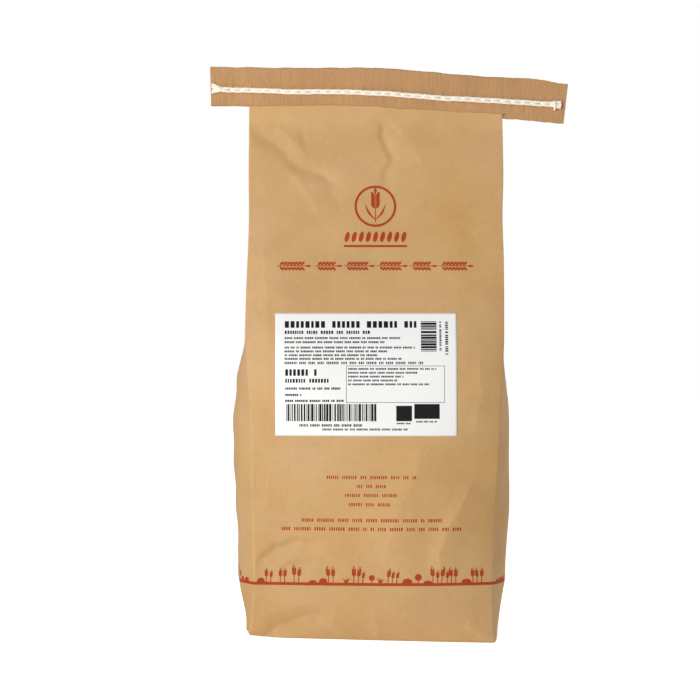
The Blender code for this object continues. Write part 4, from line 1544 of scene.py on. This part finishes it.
def join_strands(name, strands, material):
    """One piece from several tubes, with a UV map that runs along and round each strand."""
    points, faces, uvs, first = [], [], [], 0
    for strand_points, strand_faces, uv in strands:
        points.append(strand_points)
        faces += [tuple(i + first for i in face) for face in strand_faces]
        uvs.append(uv)
        first += len(strand_points)
    piece = mesh_piece(name, np.concatenate(points), faces, material)
    uvs = np.concatenate(uvs)
    corners = np.empty(len(piece.data.loops), int)
    piece.data.loops.foreach_get("vertex_index", corners)
    piece.data.uv_layers.new(name="strand").data.foreach_set("uv", uvs[corners].ravel())
    return piece


class FLOURBAG_OT_stitches(Operator):
    """Sews the chain stitch: interlocked loops on the front, straight stitches on the back, and the cut ends."""

    bl_idname = "flourbag.stitches"
    bl_label = "Stitches"

    def execute(self, context):
        settings = context.scene.flour_bag.thread
        pitch = settings.pitch / MM
        radius = settings.strand / MM
        cotton = make_cotton(tuple(settings.colour))
        draw = np.random.default_rng(STITCH_SEED)
        count = int((THREAD_ENDS[1] - THREAD_ENDS[0] - CHAIN_FREE) / pitch)
        start = THREAD_ENDS[0] + CHAIN_START
        chain = [self.loop(start + pitch * i, pitch, radius, draw) for i in range(count)]
        chain += self.left_end(start, radius)
        chain += self.right_end(start + pitch * count, radius)
        front = join_strands("chain_stitch", chain, cotton)
        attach(front, "root")
        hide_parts("thread_front")
        needle = radius * NEEDLE_THREAD
        backs = [self.back_stitch(start + pitch * i, pitch, needle, draw) for i in range(count)]
        back = join_strands("back_stitch", backs, cotton)
        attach(back, "root")
        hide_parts("thread_back")
        return {"FINISHED"}

    @staticmethod
    def loop(x, pitch, radius, draw):
        """One loop: two strands from the hole over the last loop's end, side by side, and round the next hole."""
        wide = radius * draw.uniform(0.9, 1.04)
        high = radius * draw.uniform(0.9, 1.1)
        shift = draw.uniform(-0.22, 0.22)
        half = np.array((
            (0.0, 0.45 * wide, -0.1 * high),
            (0.16, 0.70 * wide, 1.35 * high),
            (0.42, 0.98 * wide, 1.65 * high),
            (0.72, 1.04 * wide, 1.3 * high),
            (1.00, 1.00 * wide, 0.85 * high),
            (1.12, 0.66 * wide, 0.72 * high),
            (1.16, 0.0, 0.70 * high),
        ))
        path = np.concatenate((half, half[-2::-1] * (1, -1, 1)))
        return laid_tube(path * (pitch, 1, 1) + (x, shift, 0), -1, radius, plies=0.10, count=58)

    @staticmethod
    def left_end(x, radius):
        """Four cut strands that fan out to the tape's left end."""
        ends = (
            ((x + 3, 0.8, 1.0), (x - 1.5, 1.7, 1.6), (x - 4.6, 3.1, 1.5), (x - 7.4, 4.0, 1.2)),
            ((x + 3, 0.2, 1.7), (x - 1.5, 0.7, 2.3), (x - 4.5, 1.5, 2.0), (x - 7.5, 2.1, 1.5)),
            ((x + 3, -0.2, 1.4), (x - 1.5, -0.3, 1.8), (x - 4.5, -0.3, 1.5), (x - 7.0, -0.5, 1.2)),
            ((x + 3, -0.7, 0.9), (x - 1.5, -1.1, 1.3), (x - 4.5, -1.7, 1.2), (x - 7.5, -2.6, 1.1)),
        )
        flare = np.linspace(0.95, 1.08, 30)
        return [laid_tube(end, -1, radius * flare) for end in ends]

    @staticmethod
    def right_end(x, radius):
        """Three strands side by side up to their cut ends, tied by one that passes over them and hangs below."""
        end = THREAD_ENDS[1] - 1.5
        strands = (
            ((x - 1, 0.7, 1.2), (x + 2, 1.6, 1.7), (x + 5, 1.95, 1.5), (end, 2.0, 1.3)),
            ((x - 1, 0.0, 1.8), (x + 2, 0.2, 2.1), (x + 5, 0.0, 1.8), (end + 0.2, -0.05, 1.5)),
            ((x - 1, -0.6, 1.2), (x + 2, -1.4, 1.6), (x + 5, -1.9, 1.5), (end - 0.1, -2.05, 1.3)),
        )
        tie = (
            (x + 2.9, 2.6, 1.2), (x + 3.1, 1.2, 2.9), (x + 3.3, -1.2, 3.0), (x + 3.2, -3.0, 2.2), (x + 3.0, -4.3, 1.1),
        )
        made = [laid_tube(strand, -1, radius) for strand in strands]
        return [*made, laid_tube(tie, -1, radius * 0.8, sides=10, plies=0.1)]

    @staticmethod
    def back_stitch(x, pitch, radius, draw):
        """One straight stitch of the needle thread, from hole to hole."""
        slant = draw.uniform(-0.25, 0.25)
        path = (
            (x + 0.25, slant, -0.3), (x + 0.9, slant, 0.45 * radius), (x + pitch * 0.5, 0.0, 0.95 * radius),
            (x + pitch - 0.9, -slant, 0.45 * radius), (x + pitch - 0.25, -slant, -0.3),
        )
        return laid_tube(path, 1, radius, sides=10, twist=1.9, plies=0.1)


class FLOURBAG_OT_base(Operator):
    """Folds the flaps under the bag: two side triangles with the front and back flaps glued over them."""

    bl_idname = "flourbag.base"
    bl_label = "Base flaps"

    def execute(self, context):
        paper = bpy.data.materials["kraft_paper"]
        flaps = [self.flap(turn * np.array(SIDE_FLAP), 2) for turn in (1, -1)]
        flaps += [self.flap(BACK_FLAP, 1), self.flap(FRONT_FLAP, 0)]
        base = mesh_piece("base_flaps", *join_grids(flaps), paper, smooth=False)
        thicken(base, BASE_PAPER * 0.8)
        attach(base, "root")
        return {"FINISHED"}

    @staticmethod
    def flap(corners, layer):
        """Four-cornered flat flap as a grid between its corners, a layer above the floor."""
        a, b, c, d = (np.array(corner, float) for corner in corners)
        s, t = (part[..., None] for part in np.meshgrid(np.linspace(0, 1, 24), np.linspace(0, 1, 12)))
        flat = (a * (1 - s) + b * s) * (1 - t) + (d * (1 - s) + c * s) * t
        height = 0.02 + BASE_PAPER * layer + corner_lift(flat[..., 0], flat[..., 1])
        return np.concatenate((flat, height[..., None]), axis=-1)


class FLOURBAG_PT_sidebar(Panel):
    """Lists the steps that build the bag, and what may be changed on it."""

    bl_label = "Flour bag"
    bl_idname = "FLOURBAG_PT_sidebar"
    bl_space_type = "VIEW_3D"
    bl_region_type = "UI"
    bl_category = "Flour bag"

    def draw(self, context):
        for step in STEPS:
            self.layout.operator(step.bl_idname)
        settings = context.scene.flour_bag
        for group in (settings.paper, settings.label, settings.tape, settings.thread, settings.stage):
            box = self.layout.box()
            for name in type(group).__annotations__:
                box.prop(group, name)


SETTINGS = (
    PaperSettings, LabelSettings, TapeSettings, ThreadSettings, StageSettings, FlourBagSettings,
)
STEPS = (
    FLOURBAG_OT_stage, FLOURBAG_OT_bag, FLOURBAG_OT_print, FLOURBAG_OT_label,
    FLOURBAG_OT_tape, FLOURBAG_OT_stitches, FLOURBAG_OT_base,
)


def register():
    for item in (*SETTINGS, *STEPS, FLOURBAG_PT_sidebar):
        bpy.utils.register_class(item)
    bpy.types.Scene.flour_bag = PointerProperty(
        type=FlourBagSettings, name="Flour bag", description="What may be changed on the flour bag",
    )


def unregister():
    del bpy.types.Scene.flour_bag
    for item in (FLOURBAG_PT_sidebar, *STEPS[::-1], *SETTINGS[::-1]):
        bpy.utils.unregister_class(item)


def main():
    register()
    bpy.ops.flourbag.stage()
    bpy.ops.flourbag.bag()
    bpy.ops.flourbag.print()
    bpy.ops.flourbag.label()
    bpy.ops.flourbag.tape()
    bpy.ops.flourbag.stitches()
    bpy.ops.flourbag.base()


if __name__ == "__main__":
    main()
